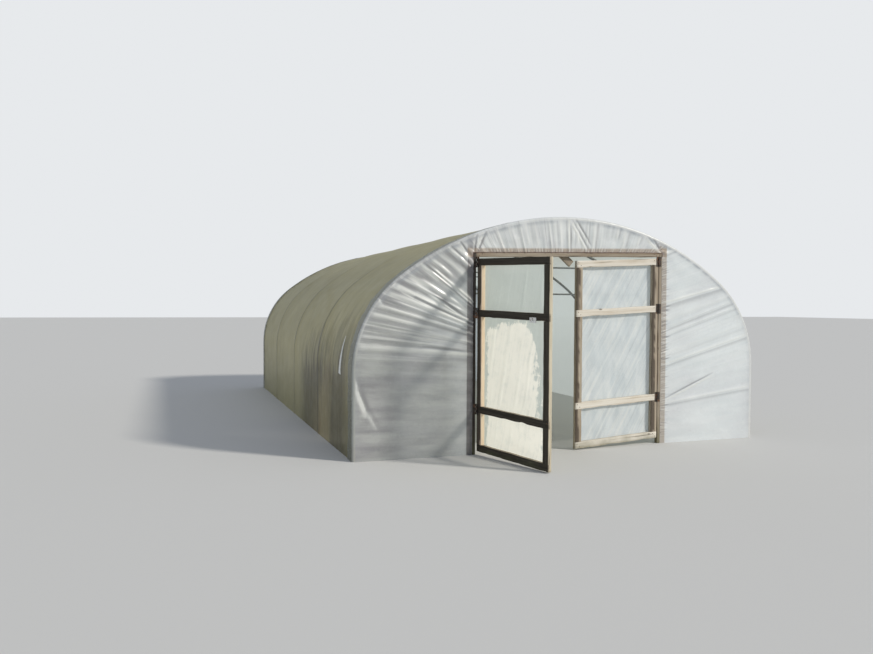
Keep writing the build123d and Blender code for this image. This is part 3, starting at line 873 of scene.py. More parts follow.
def pleat_ridges(run, share, pleats):
    """Height of a row of pleats, and their painted light and shade: how light or dark each place on them is.

    Each pleat is a ridge across the run of the hoop. It grows smoothly from nothing at its own
    starting share of the way out. Its crest gets a painted highlight, and beside its lower side
    lies a hollow of painted shade.
    """
    height = np.zeros(np.broadcast(run, share).shape)
    tone = np.zeros_like(height)
    for centre, width, lift, start in pleats:
        near = np.abs(run[0] - centre) < RIDGE_REACH * width
        offset = (run[:, near] - centre) / width
        ridge = ridge_at(offset)
        hollow = ridge_at(offset + np.sign(ARCH_LENGTH / 2 - centre) * PLEAT_HOLLOW)
        grow = ramp(share[:, near], start, PLEAT_GROW)
        grow = grow * grow * (3 - 2 * grow)
        height[:, near] = np.maximum(height[:, near], lift * ridge * grow)
        tone[:, near] += (ridge - PLEAT_DARK * hollow) * grow * min((lift / PLEAT_FULL) ** 2, 1.0)
    return height, tone


def cross_ridges(x, z, folds):
    """Height and tone of single straight folds, rounded ridges that narrow to nothing at both ends.

    The tone is a painted highlight on each crest and painted shade beside it.
    """
    height, tone = np.zeros_like(x), np.zeros_like(x)
    for start, end, width, lift in folds:
        start, end = np.array(start), np.array(end)
        length = np.linalg.norm(end - start)
        along = (end - start) / length
        share = ((x - start[0]) * along[0] + (z - start[1]) * along[1]) / length
        aside = (z - start[1]) * along[0] - (x - start[0]) * along[1]
        taper = np.sin(np.pi * np.clip(share, 0, 1)) ** 0.5
        ridge = ridge_at(aside / width) * taper
        hollow = ridge_at(aside / width - FOLD_HOLLOW) * taper
        height = np.maximum(height, lift * ridge)
        tone = tone + (FOLD_LIGHT * ridge - FOLD_DARK * hollow) * min(lift / FOLD_FULL, 1.0)
    return height, tone


def end_film(name, inner, run, hoop_y, out, flat_rows, pleats, gathers, folds=()):
    """One end sheet as a grid: columns from the inner edge out to the hoop, round it and back.

    The flat rows run straight from the inner edge to the hoop's centre line. The next rows
    turn a quarter circle round the hoop, and the last lie on the cover.
    """
    hoop_x, hoop_z, out_x, out_z = arch(run)
    rim = film_rim(run)
    length = np.linalg.norm(rim - inner, axis=-1)
    share = np.clip(flat_rows / length, 0, 1)
    flat = inner + share[..., None] * (rim - inner)
    full_run = np.broadcast_to(run, share.shape)
    ridges, tone = pleats(full_run, share)
    from_rim = length * (1 - share)
    rim_fade = np.clip(from_rim / RIM_FADE, RIM_LEAST, 1)
    ridges, tone = ridges * rim_fade, tone * np.clip(from_rim / RIM_TONE_FADE, RIM_TONE_LEAST, 1)
    cross_height, cross_tone = cross_ridges(flat[..., 0], flat[..., 1], folds)
    tucks, tuck_tone = gathers(full_run, share * length)
    low_feet = ramp(flat[..., 1], 0.0, FOOT_FADE)
    lift = (np.maximum(ridges, cross_height * rim_fade) + tucks) * low_feet
    tone = tone * (1 - np.clip(np.abs(cross_tone), 0, 1))
    cross_tone = cross_tone + tuck_tone
    hollow = DISH * np.sin(np.pi * share) * low_feet
    flat_y = hoop_y + out * (END_RADIUS + lift - hollow)
    flat_points = points_of(flat[..., 0], flat_y, flat[..., 1])

    turn = np.linspace(0, np.pi / 2, ROLL_ROWS + 1)[1:, None]
    rim_lift = lift[-1] * (ROLL_KEEPS + (1 - ROLL_KEEPS) * np.cos(turn) ** 2)
    radius = END_RADIUS + (LAP_RADIUS - END_RADIUS) * np.sin(turn) ** 2 + rim_lift
    reach = radius * np.sin(turn) - FILM_REACH
    roll_y = hoop_y + out * radius * np.cos(turn)
    roll_points = points_of(hoop_x + out_x * reach, roll_y, hoop_z + out_z * reach)

    lap = LAP_LENGTH * (1 + LAP_WANDER * waves(71, LAP_WANDER_LENGTH, run))
    back = np.linspace(0, 1, LAP_ROWS + 1)[1:, None]
    curl = CURL * back**6 * np.clip(waves(72, CURL_LENGTH, run), 0, 1)
    lap_reach = LAP_RADIUS - FILM_REACH + rim_lift[-1] * (1 - back) ** 2 + curl
    lap_y = hoop_y - out * back * lap
    lap_points = points_of(hoop_x + out_x * lap_reach, lap_y, hoop_z + out_z * lap_reach)

    points = np.concatenate([flat_points, roll_points, lap_points])
    points[..., 2] = np.maximum(points[..., 2], 0.0)
    piece = mesh_object(name, points, grid_faces(*points.shape[:2]))
    if out > 0:
        piece.data.flip_normals()
    away = [share * length, length + turn * END_RADIUS, length + ROLL_LENGTH + back * lap]
    away = np.concatenate([part + 0 * run for part in away])
    set_attribute(piece, "film", points_of(run, away, 0))
    fade = np.concatenate([0 * turn + 1, 1 - LAP_TONE_LOSS * back]) * (tone[-1] + 0 * run)
    full_tone = np.concatenate([(tone + cross_tone) * low_feet, fade])
    # The fold attribute keeps the painted highlight and shade of the folds, and the distance in from the rim.
    set_attribute(piece, "fold", points_of(full_tone, length - away, 0))
    return piece


def end_colours(tree, place, weather):
    """Silvery film: painted highlights along its folds and painted shade beside them, a painted
    shadow inside the hoop, brown over the timber, painted shade over the left post, the left
    panel and the left leg's rim, and painted light on the right.
    """
    x, _, z = object_place(tree).parts()
    fold_tone, from_rim, _ = attribute(tree, "fold").parts()
    streak, beside, level = weather["Streak"], abs(x), z - x * HEADER_SLOPE
    in_post = beside.spread(POST_OUTER + EDGE_BLUR, POST_OUTER - EDGE_BLUR)
    over_post = in_post * beside.spread(POST_INNER, POST_INNER + EDGE_BLUR / 2)
    over_post *= level.spread(HEADER_TOP, HEADER_TOP + POST_FADE, 1.0, 0.3)
    header_foot = HEADER_TOP - HEADER_HEIGHT
    over_header = level.spread(HEADER_TOP + HEADER_ABOVE, HEADER_TOP - HEADER_WITHIN)
    over_header *= level.spread(header_foot - HEADER_BELOW, header_foot)
    over_header *= in_post
    # Painted shade over the left panel, kept off near the post
    left_panel_shade = x.spread(*SHADE_FAR_OUT, 0.10, 1.0).larger(z.spread(*SHADE_UP, 0.0, 0.85))
    left_panel_shade = left_panel_shade.larger(z.spread(*SHADE_DOWN, 0.0, 0.80)) * x.spread(*SHADE_FROM_POST)
    silver, pale = left_panel_shade.blend(FILM_SILVER, FILM_IN_SHADE), left_panel_shade.blend(FILM_WHITE, FILM_IN_SHADE_PALE)
    skin = streak.spread(0.36, 0.62).blend(silver, pale)
    # Painted light: the right side of the sheet is whitened, as if lit through from the sunny inside.
    skin = x.spread(*SUNLIT_OUT, 0.0, 0.50).blend(skin, FILM_SUNLIT)
    skin = weather["Dirt"].spread(0.44, 0.70, 0.0, 0.35).blend(skin, FILM_LAVENDER)
    # Fine lines of painted highlight and painted shade along the pleats on the left
    lines = place.stretched(LINE_SCALE).noise(1.0, 4.0, 0.7)
    lined = x.spread(*LINED_LEFT, 0.15, 1.0) * z.spread(*LINED_UP)
    lined *= (x.spread(*CALM_IN) * x.spread(*CALM_OUT)).between(1.0, 0.35)
    skin = (lines.spread(0.52, 0.64, 0.0, 0.75) * lined).blend(skin, FILM_FOLD_HIGHLIGHT)
    skin = (lines.spread(0.47, 0.36, 0.0, 0.60) * lined).blend(skin, FILM_SHADE)
    tucked = streak.spread(0.3, 0.7, 0.95, 0.70)
    # Painted shade: the film over the left post is dark, for the shadow of the open left leaf.
    on_post = x.spread(-1.0, 1.0).blend(FILM_ON_SHADED_POST, FILM_ON_POST)
    skin = (over_post * tucked).blend(skin, on_post)
    skin = (over_header * tucked).blend(skin, FILM_ON_HEADER)
    fold_strength = over_post.larger(over_header).between(0.90, 0.50)
    # Painted highlights on the fold crests and painted shade in their hollows
    skin = (fold_tone.spread(0.05, 0.8) * fold_strength).blend(skin, FILM_FOLD_HIGHLIGHT)
    skin = (fold_tone.spread(-0.05, -0.9) * fold_strength).blend(skin, FILM_SHADE)
    # Painted shade: a grey band just inside the hoop, for the hoop's shadow on the film.
    hoop_shadow_band = from_rim.spread(*RIM_OUTER) * from_rim.spread(*RIM_INNER)
    hoop_shadow_band *= streak.spread(0.38, 0.60, 0.80, 0.15)
    hoop_shadow_band *= z.spread(*HIGH_UP, 0.2, 1.0) * beside.spread(0.03, 0.06)
    skin = hoop_shadow_band.blend(skin, FILM_HOOP_SHADOW)
    shoulder = z.spread(*SHOULDER_UP) * x.spread(0.2, -0.6)
    tape_share = shoulder.between(0.85, 0.30) * from_rim.spread(*TAPE_RIM)
    # Painted shade: the pale band over the rim is darker down the left leg, which stands in shade.
    left_leg = z.spread(*LEG_DOWN) * x.spread(0.0, -1.0)
    skin = tape_share.blend(skin, left_leg.blend(FILM_ON_TAPE, FILM_ON_LEG_IN_SHADE))
    lap = left_leg.blend(x.spread(-0.9, 1.0).blend(LAP_ON_KHAKI, LAP_ON_CLEAN), LAP_ON_LEG)
    skin = from_rim.spread(*LAP_RIM, 0.0, 0.85).blend(skin, lap)
    hem = place.parts()[1].spread(*HEM_WIDTH) * over_header
    return hem.blend(skin, FILM_HEM), colour(END_GLOW), END_GLOW_SHARE


end_material = film_material(
    "end_film", end_colours, see_through=0.05, run_length=6.0, gloss=(0.18, 0.36), crease=0.0010
)

left_inner, left_outer = np.array((*LEFT_PLEATS, (CORNER_LEFT, CORNER_RUN))).T
right_inner, right_outer = np.array((*RIGHT_PLEATS, (CORNER_RIGHT, CORNER_RUN))).T
header_length = np.hypot(2 * FILM_EDGE, CORNER_RIGHT - CORNER_LEFT)
corner_run = (0.0, CORNER_LEFT, CORNER_LEFT + header_length, CORNER_LEFT + header_length + CORNER_RIGHT)
inner_stops = np.concatenate([left_inner, corner_run[3] - right_inner[::-1]])
outer_stops = np.concatenate([left_outer, ARCH_LENGTH - right_outer[::-1]])
stop_share = (inner_stops + outer_stops) / (inner_stops[-1] + outer_stops[-1])
columns = np.linspace(0, 1, END_COLUMNS)
inner_run = np.interp(columns, stop_share, inner_stops)
front_run = np.interp(columns, stop_share, outer_stops)
inner_x = np.interp(inner_run, corner_run, (-FILM_EDGE, -FILM_EDGE, FILM_EDGE, FILM_EDGE))
inner_z = np.interp(inner_run, corner_run, (0.0, CORNER_LEFT, CORNER_RIGHT, 0.0))
front_inner = points_of(inner_x, inner_z)
column_length = np.linalg.norm(film_rim(front_run) - front_inner, axis=-1)
flat_share = np.linspace(0, 1, FLAT_ROWS + 1)[1:, None]
edge_rows = np.array(EDGE_ROWS)[:, None] + 0 * column_length
flat_rows = np.concatenate([edge_rows, EDGE_ROWS[-1] + flat_share * (column_length - EDGE_ROWS[-1])])

# Along the arch: where the left side ends and the right one starts, where the first and the
# last pleat may lie, from where the right side is nearly smooth, and from where the pleats,
# low beside the feet, climb to their full height over a metre
LEFT_END, RIGHT_START = 2.85, ARCH_LENGTH - 2.70
FIRST_PLEAT, LAST_PLEAT = 0.62, ARCH_LENGTH - 0.60
SMOOTH_ABOVE, SMOOTH_SHARE = 1.98, 0.22
LOW_BELOW, LOW_SHARE = 0.45, 0.15
# How far apart the pleats lie, how much of that each one takes, and how far it stands out
LEFT_GAPS, TOP_GAPS, RIGHT_GAPS = (0.070, 0.115), (0.045, 0.115), (0.085, 0.17)
LEFT_WIDTHS, TOP_WIDTHS, RIGHT_WIDTH = (0.28, 0.40), (0.16, 0.30), 0.20
LEFT_LIFTS, TOP_LIFTS, RIGHT_LIFTS = (0.006, 0.012), (0.003, 0.008), (0.003, 0.006)
# Where a pleat starts, as a share of the way out: full grown at the timber, or further out
AT_TIMBER, FURTHER_OUT, AT_TIMBER_CHANCE = -0.3, (0.0, 0.45), 0.6
LONG_LEFT_PLEAT, LONG_RIGHT_PLEAT = (0.026, 0.012, AT_TIMBER), (0.022, 0.007, AT_TIMBER)
# Where the pleats on the right are low: from this place on, up to this share of the way out
QUIET_FROM, QUIET_OUT, QUIET_LEAST = RIGHT_START - 0.5, 0.3, 0.12
# The tucks: how wide each is, how far out they are deepest, how far they reach to both sides
# of there, and how much further on the right
TUCK_LENGTH, TUCK_PEAK, TUCK_REACH, TUCK_REACH_RIGHT = 0.022, 0.02, 0.025, 0.045
# How high they stand and how strong their painted light and shade is, first on the left and then what
# the other places add. The right's share is greatest at one place up from its foot, and dies out round it
TUCK_HEIGHT, TUCK_HEIGHT_RIGHT = 0.0016, 0.004
TUCK_TONE, TUCK_TONE_PAST_LEFT, TUCK_TONE_RIGHT = 0.12, 0.68, 0.7
TUCKS_RIGHT_UP, TUCKS_RIGHT_SPREAD = 1.6, 0.40
# Where out from the edge their height and their tone begin, and over what distance they grow.
# Then the length of the arch over which one side's tucks turn into the next side's
TUCK_RISE, TUCK_TONE_RISE = (0.012, 0.015), (0.003, 0.006)
TUCK_TURN = 0.1
AREA_POINTS = 400

rng = np.random.default_rng(12)
front_pleat_list = []
pleat_place = FIRST_PLEAT
while pleat_place < LAST_PLEAT:
    on_right = pleat_place > RIGHT_START
    smooth = on_right and ARCH_LENGTH - pleat_place > SMOOTH_ABOVE
    if on_right:
        gap, width, lift = rng.uniform(*RIGHT_GAPS), RIGHT_WIDTH, rng.uniform(*RIGHT_LIFTS)
    elif pleat_place > LEFT_END:
        gap, width, lift = rng.uniform(*TOP_GAPS), rng.uniform(*TOP_WIDTHS), rng.uniform(*TOP_LIFTS)
    else:
        gap, width, lift = rng.uniform(*LEFT_GAPS), rng.uniform(*LEFT_WIDTHS), rng.uniform(*LEFT_LIFTS)
    from_timber = on_right or rng.uniform() < AT_TIMBER_CHANCE
    start = AT_TIMBER if from_timber else rng.uniform(*FURTHER_OUT)
    lift *= SMOOTH_SHARE if smooth else 1
    lift *= np.clip(min(pleat_place, ARCH_LENGTH - pleat_place) - LOW_BELOW, LOW_SHARE, 1)
    front_pleat_list.append((pleat_place, gap * width, lift, start))
    pleat_place += gap
front_pleat_list += [(place, *LONG_LEFT_PLEAT) for place in left_outer[2:-1]]
front_pleat_list += [(ARCH_LENGTH - place, *LONG_RIGHT_PLEAT) for place in right_outer[1:-1]]


def swell(seed, length, run, share):
    """A slow swell of a sheet, a random height times half a sine wave from inner edge to hoop."""
    return SWELL * (1 + waves(seed, length, run, 0.8 * share)) * np.sin(np.pi * np.clip(share, 0, 1))


def front_pleats(run, share):
    """The long pleats, over a slow swell. On the right they are low beside the timber."""
    height, tone = pleat_ridges(run, share, front_pleat_list)
    calm = np.where(run > QUIET_FROM, np.clip(share / QUIET_OUT, QUIET_LEAST, 1), 1)
    return swell(61, 0.5, run, share) + height * calm, tone


def front_gathers(run, distance):
    """Height and tone of the small tucks just outside the staples; the tone is painted light and shade.

    They die out a hand's width from the timber's edge, and are deepest beside the right post.
    """
    wave = waves(62, TUCK_LENGTH, run, 0.08 * distance)
    on_right = np.exp(-((ARCH_LENGTH - run - TUCKS_RIGHT_UP) / TUCKS_RIGHT_SPREAD) ** 2)
    past_left, past_head = ramp(run, LEFT_END, TUCK_TURN), ramp(run, RIGHT_START, TUCK_TURN)
    reach = np.exp(-((distance - TUCK_PEAK) / (TUCK_REACH + TUCK_REACH_RIGHT * past_head)) ** 2)
    strength = TUCK_TONE + TUCK_TONE_PAST_LEFT * past_left + TUCK_TONE_RIGHT * on_right
    height = np.clip(wave, 0, None) * (TUCK_HEIGHT + TUCK_HEIGHT_RIGHT * on_right)
    height = height * ramp(distance, *TUCK_RISE)
    return height * reach, wave * strength * reach * ramp(distance, *TUCK_TONE_RISE)


front_sheet = end_film(
    "front_sheet", front_inner, front_run, FRONT_Y, -1, flat_rows, front_pleats, front_gathers, CROSS_FOLDS
)
front_nodes = ("front_film_left", "front_film_right", "front_film_top")
fit(front_sheet, end_material, "end_film", "frame", *front_nodes)
arch_x, arch_z = arch(np.linspace(0, ARCH_LENGTH, AREA_POINTS))[:2]
END_AREA = abs(np.sum(arch_x * np.roll(arch_z, 1) - arch_z * np.roll(arch_x, 1))) / 2
EDGE_AREA = ARCH_LENGTH * (LAP_LENGTH + ROLL_LENGTH)
DOORWAY_AREA = 2 * FILM_EDGE * (CORNER_LEFT + CORNER_RIGHT) / 2
END_AREA - DOORWAY_AREA + EDGE_AREA


# Rear film
# The closed end is one sheet without a doorway, nailed to the rear posts and header from
# outside and drawn over the rear hoop in the same pleats.
REAR_COLUMNS, REAR_ROWS = 1100, 46
REAR_GAPS, REAR_WIDTH = (0.05, 0.11), 0.3
REAR_LIFTS, REAR_STARTS = (0.003, 0.010), (0.35, 0.75)
PLAIN_FOOT = 0.9

rear_run = np.linspace(0, ARCH_LENGTH, REAR_COLUMNS)
rear_inner = np.zeros((REAR_COLUMNS, 2))
rear_share = np.linspace(0, 1, REAR_ROWS)[:, None] ** 0.8
rear_rows = rear_share * np.linalg.norm(film_rim(rear_run), axis=-1)
rear_rng = np.random.default_rng(21)
rear_gaps, rear_lifts, rear_starts = (
    rear_rng.uniform(*limits, 100) for limits in (REAR_GAPS, REAR_LIFTS, REAR_STARTS)
)
rear_pleat_list = [
    (centre, REAR_WIDTH * gap, lift, start)
    for centre, gap, lift, start in zip(
        PLAIN_FOOT + np.cumsum(rear_gaps), rear_gaps, rear_lifts, rear_starts
    )
    if centre < ARCH_LENGTH - PLAIN_FOOT
]


def rear_pleats(run, share):
    """Pleats that only reach part of the way in from the hoop, over a slow swell."""
    height, tone = pleat_ridges(run, share, rear_pleat_list)
    return swell(63, 0.7, run * share, share) + height, tone


def no_gathers(run, distance):
    """A sheet without tucks at its inner edge."""
    return 0 * distance, 0 * distance


rear_sheet = end_film("rear_sheet", rear_inner, rear_run, REAR_Y, 1, rear_rows, rear_pleats, no_gathers)
fit(rear_sheet, end_material, "end_film", "frame", "rear_film")
END_AREA + EDGE_AREA


# Door leaves
# Two frames of planed timber with half-lapped corners, nailed, and sunk out of square at the
# free side. The left leaf stands wide open, its outer face painted near black as painted shade.
LEAF_WIDTH, STILE_WIDTH, RAIL_HEIGHT, LEAF_DEPTH = 1.100, 0.075, 0.073, 0.045
NEAR_EDGE, FACE_SET_BACK = 0.005, 0.006
MID_DROP, LOWER_DROP = 0.533, 1.538
FRONT_HINGE_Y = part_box("front_left_post")[0][1] - FACE_SET_BACK
WOOD_PALE = (0.75, 0.715, 0.635)
WOOD_PALE_BROWN = (0.51, 0.44, 0.34)
WOOD_TAN = (0.44, 0.385, 0.300)
WOOD_TAN_BROWN = (0.25, 0.195, 0.140)
WOOD_TAN_SHADE = (0.085, 0.068, 0.053)
WOOD_PEACH_SUNLIT = (1.0, 0.83, 0.63)
WOOD_PEACH_SUNLIT_BROWN = (0.88, 0.67, 0.46)
WOOD_CREAM = (0.58, 0.53, 0.41)
WOOD_CREAM_BROWN = (0.40, 0.345, 0.25)
WOOD_DULL = (0.40, 0.35, 0.27)
WOOD_DULL_BROWN = (0.25, 0.21, 0.16)
WOOD_SHADED_FACE = (0.034, 0.030, 0.023)
LEAF_HANDS = {"left": -1, "right": 1}
LEAF_OPEN = {"left": np.radians(75), "right": np.radians(5)}
LEAF_SAG = {"left": 0.030, "right": 0.055}
LEAF_DROP = {side: sag / (LEAF_WIDTH + NEAR_EDGE) for side, sag in LEAF_SAG.items()}
# Where the painted shade on each stile's outer face starts, as a share of its width from the hinge side, and
# how wide its ragged edge is
FACE_SHADE_SHARE = {"left": 0.80, "right": 0.45}
FACE_SHADE_EDGE, RAIL_NIBBLE = 0.006, 0.004
LEAF_DAMP, RAIL_DAMP = 0.20, 0.25
pale_timber = timber_material("right_rail_timber", WOOD_PALE, WOOD_PALE_BROWN, RAIL_DAMP)
# The right stiles carry painted shade: a dark brown band over part of their outer faces, for the shade of
# their edges.
tan_timber = timber_material("right_stile_timber", WOOD_TAN, WOOD_TAN_BROWN, LEAF_DAMP, WOOD_TAN_SHADE)
right_timbers = {"hinge_stile": tan_timber, "free_stile": tan_timber, "rail": pale_timber}
leaf_timbers = {"left": {}, "right": right_timbers}
# The left hinge stile's peach is painted light: its clean part is coloured bright as if sunlit.
for board, silver, brown in (
    ("hinge_stile", WOOD_PEACH_SUNLIT, WOOD_PEACH_SUNLIT_BROWN),
    ("free_stile", WOOD_CREAM, WOOD_CREAM_BROWN),
    ("rail", WOOD_DULL, WOOD_DULL_BROWN),
):
    name = f"left_{board}_timber"
    leaf_timbers["left"][board] = timber_material(name, silver, brown, LEAF_DAMP, WOOD_SHADED_FACE)


def on_leaf(side, along, up, depth):
    """Sets points on a leaf as it stands at rest: it drops evenly towards its free side."""
    hand, swing = LEAF_HANDS[side], LEAF_OPEN[side]
    out_along = np.array((-hand * np.cos(swing), -np.sin(swing), 0.0))
    inward = hand * np.cross(out_along, (0, 0, 1))
    axis_foot = np.array((hand * (POST_INNER - NEAR_EDGE), FRONT_HINGE_Y, 0.0))
    along, up, depth = (part[..., None] for part in np.broadcast_arrays(along, up, depth))
    height = up - LEAF_DROP[side] * along
    return axis_foot + along * out_along + (depth + FACE_SET_BACK) * inward + height * (0, 0, 1)


half_lap = LEAF_DEPTH / 2
far_stile = NEAR_EDGE + LEAF_WIDTH - STILE_WIDTH
leaf_heads, leaf_feet, leaf_tops = {}, {}, {}
for side, hand in LEAF_HANDS.items():
    drop = LEAF_DROP[side]
    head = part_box(f"{side}_door_hinge_stile")[1][2] + drop * NEAR_EDGE
    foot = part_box(f"{side}_door_hinge_stile")[0][2] + drop * (NEAR_EDGE + STILE_WIDTH)
    tops = {"top_rail": head, "mid_rail": head - MID_DROP, "lower_rail": head - LOWER_DROP}
    tops["bottom_rail"] = foot + RAIL_HEIGHT
    leaf_heads[side], leaf_feet[side], leaf_tops[side] = head, foot, tops
    laps = [(top - RAIL_HEIGHT - foot, top - foot, half_lap) for top in tops.values()]
    ends = [(0.0, STILE_WIDTH, half_lap), (LEAF_WIDTH - STILE_WIDTH, LEAF_WIDTH, half_lap)]
    for number, (name, start) in enumerate((("hinge_stile", NEAR_EDGE), ("free_stile", far_stile))):
        seed = 200 + 10 * number + hand
        own = board_points(head - foot, STILE_WIDTH, LEAF_DEPTH, seed, front_steps=laps)
        placed = on_leaf(side, start + own[..., 1], foot + own[..., 0], own[..., 2])
        ragged = FACE_SHADE_EDGE * waves(seed + 3, 0.2, own[..., 0], 0 * own[..., 0])
        face_shade = ramp(own[..., 1] + ragged, FACE_SHADE_SHARE[side] * STILE_WIDTH, FACE_SHADE_EDGE)
        # On the left the free stile is all in painted shade, and the hinge stile only on its hinge side.
        if side == "left":
            face_shade = 1 - face_shade if name == "hinge_stile" else 1.0
        board_object(f"{side}_door_{name}", own, placed, seed, leaf_timbers[side][name], f"{side}_door", face_shade)
    for number, (name, top) in enumerate(tops.items()):
        seed = 300 + 10 * number + hand
        own = board_points(LEAF_WIDTH, RAIL_HEIGHT, LEAF_DEPTH, seed, back_steps=ends, nibble=RAIL_NIBBLE)
        placed = on_leaf(side, NEAR_EDGE + own[..., 0], top - RAIL_HEIGHT + own[..., 1], own[..., 2])
        board_object(f"{side}_door_{name}", own, placed, seed, leaf_timbers[side]["rail"], f"{side}_door")


# Door film
# A sheet stapled over the inner face of each leaf, pulled in slanting creases. The left one
# carries a cloudy patch of greenhouse shading paint, brushed on up and down.
DOOR_FILM_BACK = 0.0015
DOOR_MARGIN = 0.012
DOOR_COLUMNS, DOOR_ROWS = 130, 230
SLACK, SLACK_LENGTH, SLACK_FADE = 0.003, 0.5, 0.09
CREASE_LENGTH = 0.11
LEAVES_APART = 20
WASH_LEFT, WASH_RIGHT, WASH_LOW_RIGHT = 0.105, 0.930, 1.060
WASH_TOP, WASH_CROWN, WASH_SHOULDER = 1.430, 0.58, 0.72
WASH_STEP_UP, WASH_STEP, WASH_TOP_FROM = 0.55, 0.1, 0.6
WASH_CROWN_FALL, WASH_SHOULDER_FALL, WASH_RIGHT_BLUR, NO_WASH = 0.52, 9.0, 0.4, 10.0
WASH_WHITE = (0.96, 0.955, 0.88)
WASH_GLOW = (1.0, 0.99, 0.90)
STREAK_SCALE, BRUSH_SCALE, DAB_SCALE = (26.0, 0.7, 1.0), (34.0, 1.6, 1.0), (10.0, 11.0, 1.0)
# For each leaf its film's darker and paler tint, and the tint of the light through it
LEAF_TINTS = {
    "left": ((0.53, 0.58, 0.54), (0.61, 0.66, 0.61), (0.69, 0.75, 0.71)),
    "right": ((0.66, 0.73, 0.77), (0.80, 0.85, 0.87), (0.88, 0.92, 0.94)),
}
LEAF_GLOWS = {"left": (0.64, 0.80), "right": (0.30, 0.30)}
LEAF_CLEAR = {"left": 0.02, "right": 0.06}
LEAF_SUNLIGHT = {"left": (0.46, 0.46, 0.45), "right": (0.20, 0.20, 0.20)}
LEAF_SLANTS = {"left": -0.25, "right": 0.62}
LEAF_STREAKS = {"left": 0.25, "right": 0.60}
LEAF_CREASES = {"left": 0.0012, "right": 0.0036}


def door_colours(side):
    """A leaf's milky film with slanting streaks of painted highlight and shade, and brushed white paint
    inside the wash's outline.
    """
    grey, pale, glow = LEAF_TINTS[side]
    streaks = LEAF_STREAKS[side]

    def colours(tree, place, weather):
        turn = {"Vector": place, "Angle": -np.arctan(LEAF_SLANTS[side])}
        leaning = place.through("ShaderNodeVectorRotate", turn, rotation_type="Z_AXIS")
        lines = leaning.stretched(STREAK_SCALE).noise(1.0, 4.0, 0.7)
        skin = weather["Streak"].spread(0.38, 0.64).blend(grey, pale)
        # Slanting streaks of painted highlight and painted shade along the creases
        skin = lines.spread(0.50, 0.66, 0.0, streaks).blend(skin, FILM_FOLD_HIGHLIGHT)
        skin = lines.spread(0.46, 0.32, 0.0, 0.5 * streaks).blend(skin, FILM_SHADE)
        brushed = leaning.stretched(BRUSH_SCALE).noise(1.0, 5.0, 0.65) - 0.5
        dabs = place.stretched(DAB_SCALE).noise(1.0, 5.0, 0.65) - 0.5
        edge = attribute(tree, "wash").parts()[0] + dabs * 0.20 + brushed * 0.14
        painted = edge.spread(0.0, 0.03) * (brushed + dabs).spread(-0.26, 0.02, 0.70, 1.0)
        glow_share = painted.between(*LEAF_GLOWS[side])
        return painted.blend(skin, WASH_WHITE), painted.blend(glow, WASH_GLOW), glow_share

    return colours


for side, hand in LEAF_HANDS.items():
    head, foot, tops = leaf_heads[side], leaf_feet[side], leaf_tops[side]
    door_material = film_material(
        f"{side}_leaf_film",
        door_colours(side),
        see_through=LEAF_CLEAR[side],
        run_length=4.0,
        gloss=(0.20, 0.38),
        crease=0.0010,
        sunlight=LEAF_SUNLIGHT[side],
    )
    along = np.linspace(NEAR_EDGE + DOOR_MARGIN, NEAR_EDGE + LEAF_WIDTH - DOOR_MARGIN, DOOR_COLUMNS)[None, :]
    up = np.linspace(foot + DOOR_MARGIN, head - DOOR_MARGIN, DOOR_ROWS)[:, None]
    from_stile = np.minimum(along - NEAR_EDGE, NEAR_EDGE + LEAF_WIDTH - along) - STILE_WIDTH
    from_rail = np.min([np.maximum(up - top, top - RAIL_HEIGHT - up) for top in tops.values()], axis=0)
    free = ramp(np.minimum(from_stile, from_rail), 0.0, SLACK_FADE)
    lean = along + LEAF_SLANTS[side] * up
    creases = LEAF_CREASES[side] * np.clip(waves(400 + hand, CREASE_LENGTH, lean, 0.10 * up), 0, None) ** 1.4
    slack = SLACK * (1 + waves(402 + hand, SLACK_LENGTH, along, up))
    placed = on_leaf(side, along, up, LEAF_DEPTH + DOOR_FILM_BACK + free * (creases + slack))
    leaf_sheet = mesh_object(f"{side}_leaf_sheet", placed, grid_faces(DOOR_ROWS, DOOR_COLUMNS))
    if hand > 0:
        leaf_sheet.data.flip_normals()
    set_attribute(leaf_sheet, "film", points_of(along + LEAVES_APART * hand, up, 0.0))
    low_down = np.clip((WASH_STEP_UP - up) / WASH_STEP, 0, 1)
    wash_right = WASH_RIGHT + (WASH_LOW_RIGHT - WASH_RIGHT) * low_down
    wash_sides = np.minimum(along - WASH_LEFT, WASH_RIGHT_BLUR * (wash_right - along))
    past_crown, past_shoulder = along - WASH_CROWN, np.clip(along - WASH_SHOULDER, 0, None)
    wash_top = WASH_TOP - WASH_CROWN_FALL * past_crown**2 - WASH_SHOULDER_FALL * past_shoulder**2
    inside = np.minimum(wash_sides, np.where(up < WASH_TOP_FROM, 1.0, wash_top - up))
    reach = inside if side == "left" else inside - NO_WASH
    set_attribute(leaf_sheet, "wash", points_of(reach, 0, 0))
    fit(leaf_sheet, door_material, "end_film", f"{side}_door", f"{side}_door_film")
    head - foot - 2 * DOOR_MARGIN


# Hinges and latch
# Pressed steel butt hinges, rusted through their plating, and a white painted latch plate
# whose paint has chipped down to rust in small patches.
HINGE_LIGHT = (0.085, 0.072, 0.062)
HINGE_DARK = (0.036, 0.031, 0.027)
LATCH_WHITE = (0.94, 0.94, 0.91)
LATCH_GREY = (0.74, 0.74, 0.70)
HINGE_RUST = (0.37, 0.34)
LATCH_RUST, LATCH_RUST_PER_METRE = 0.34, 55.0

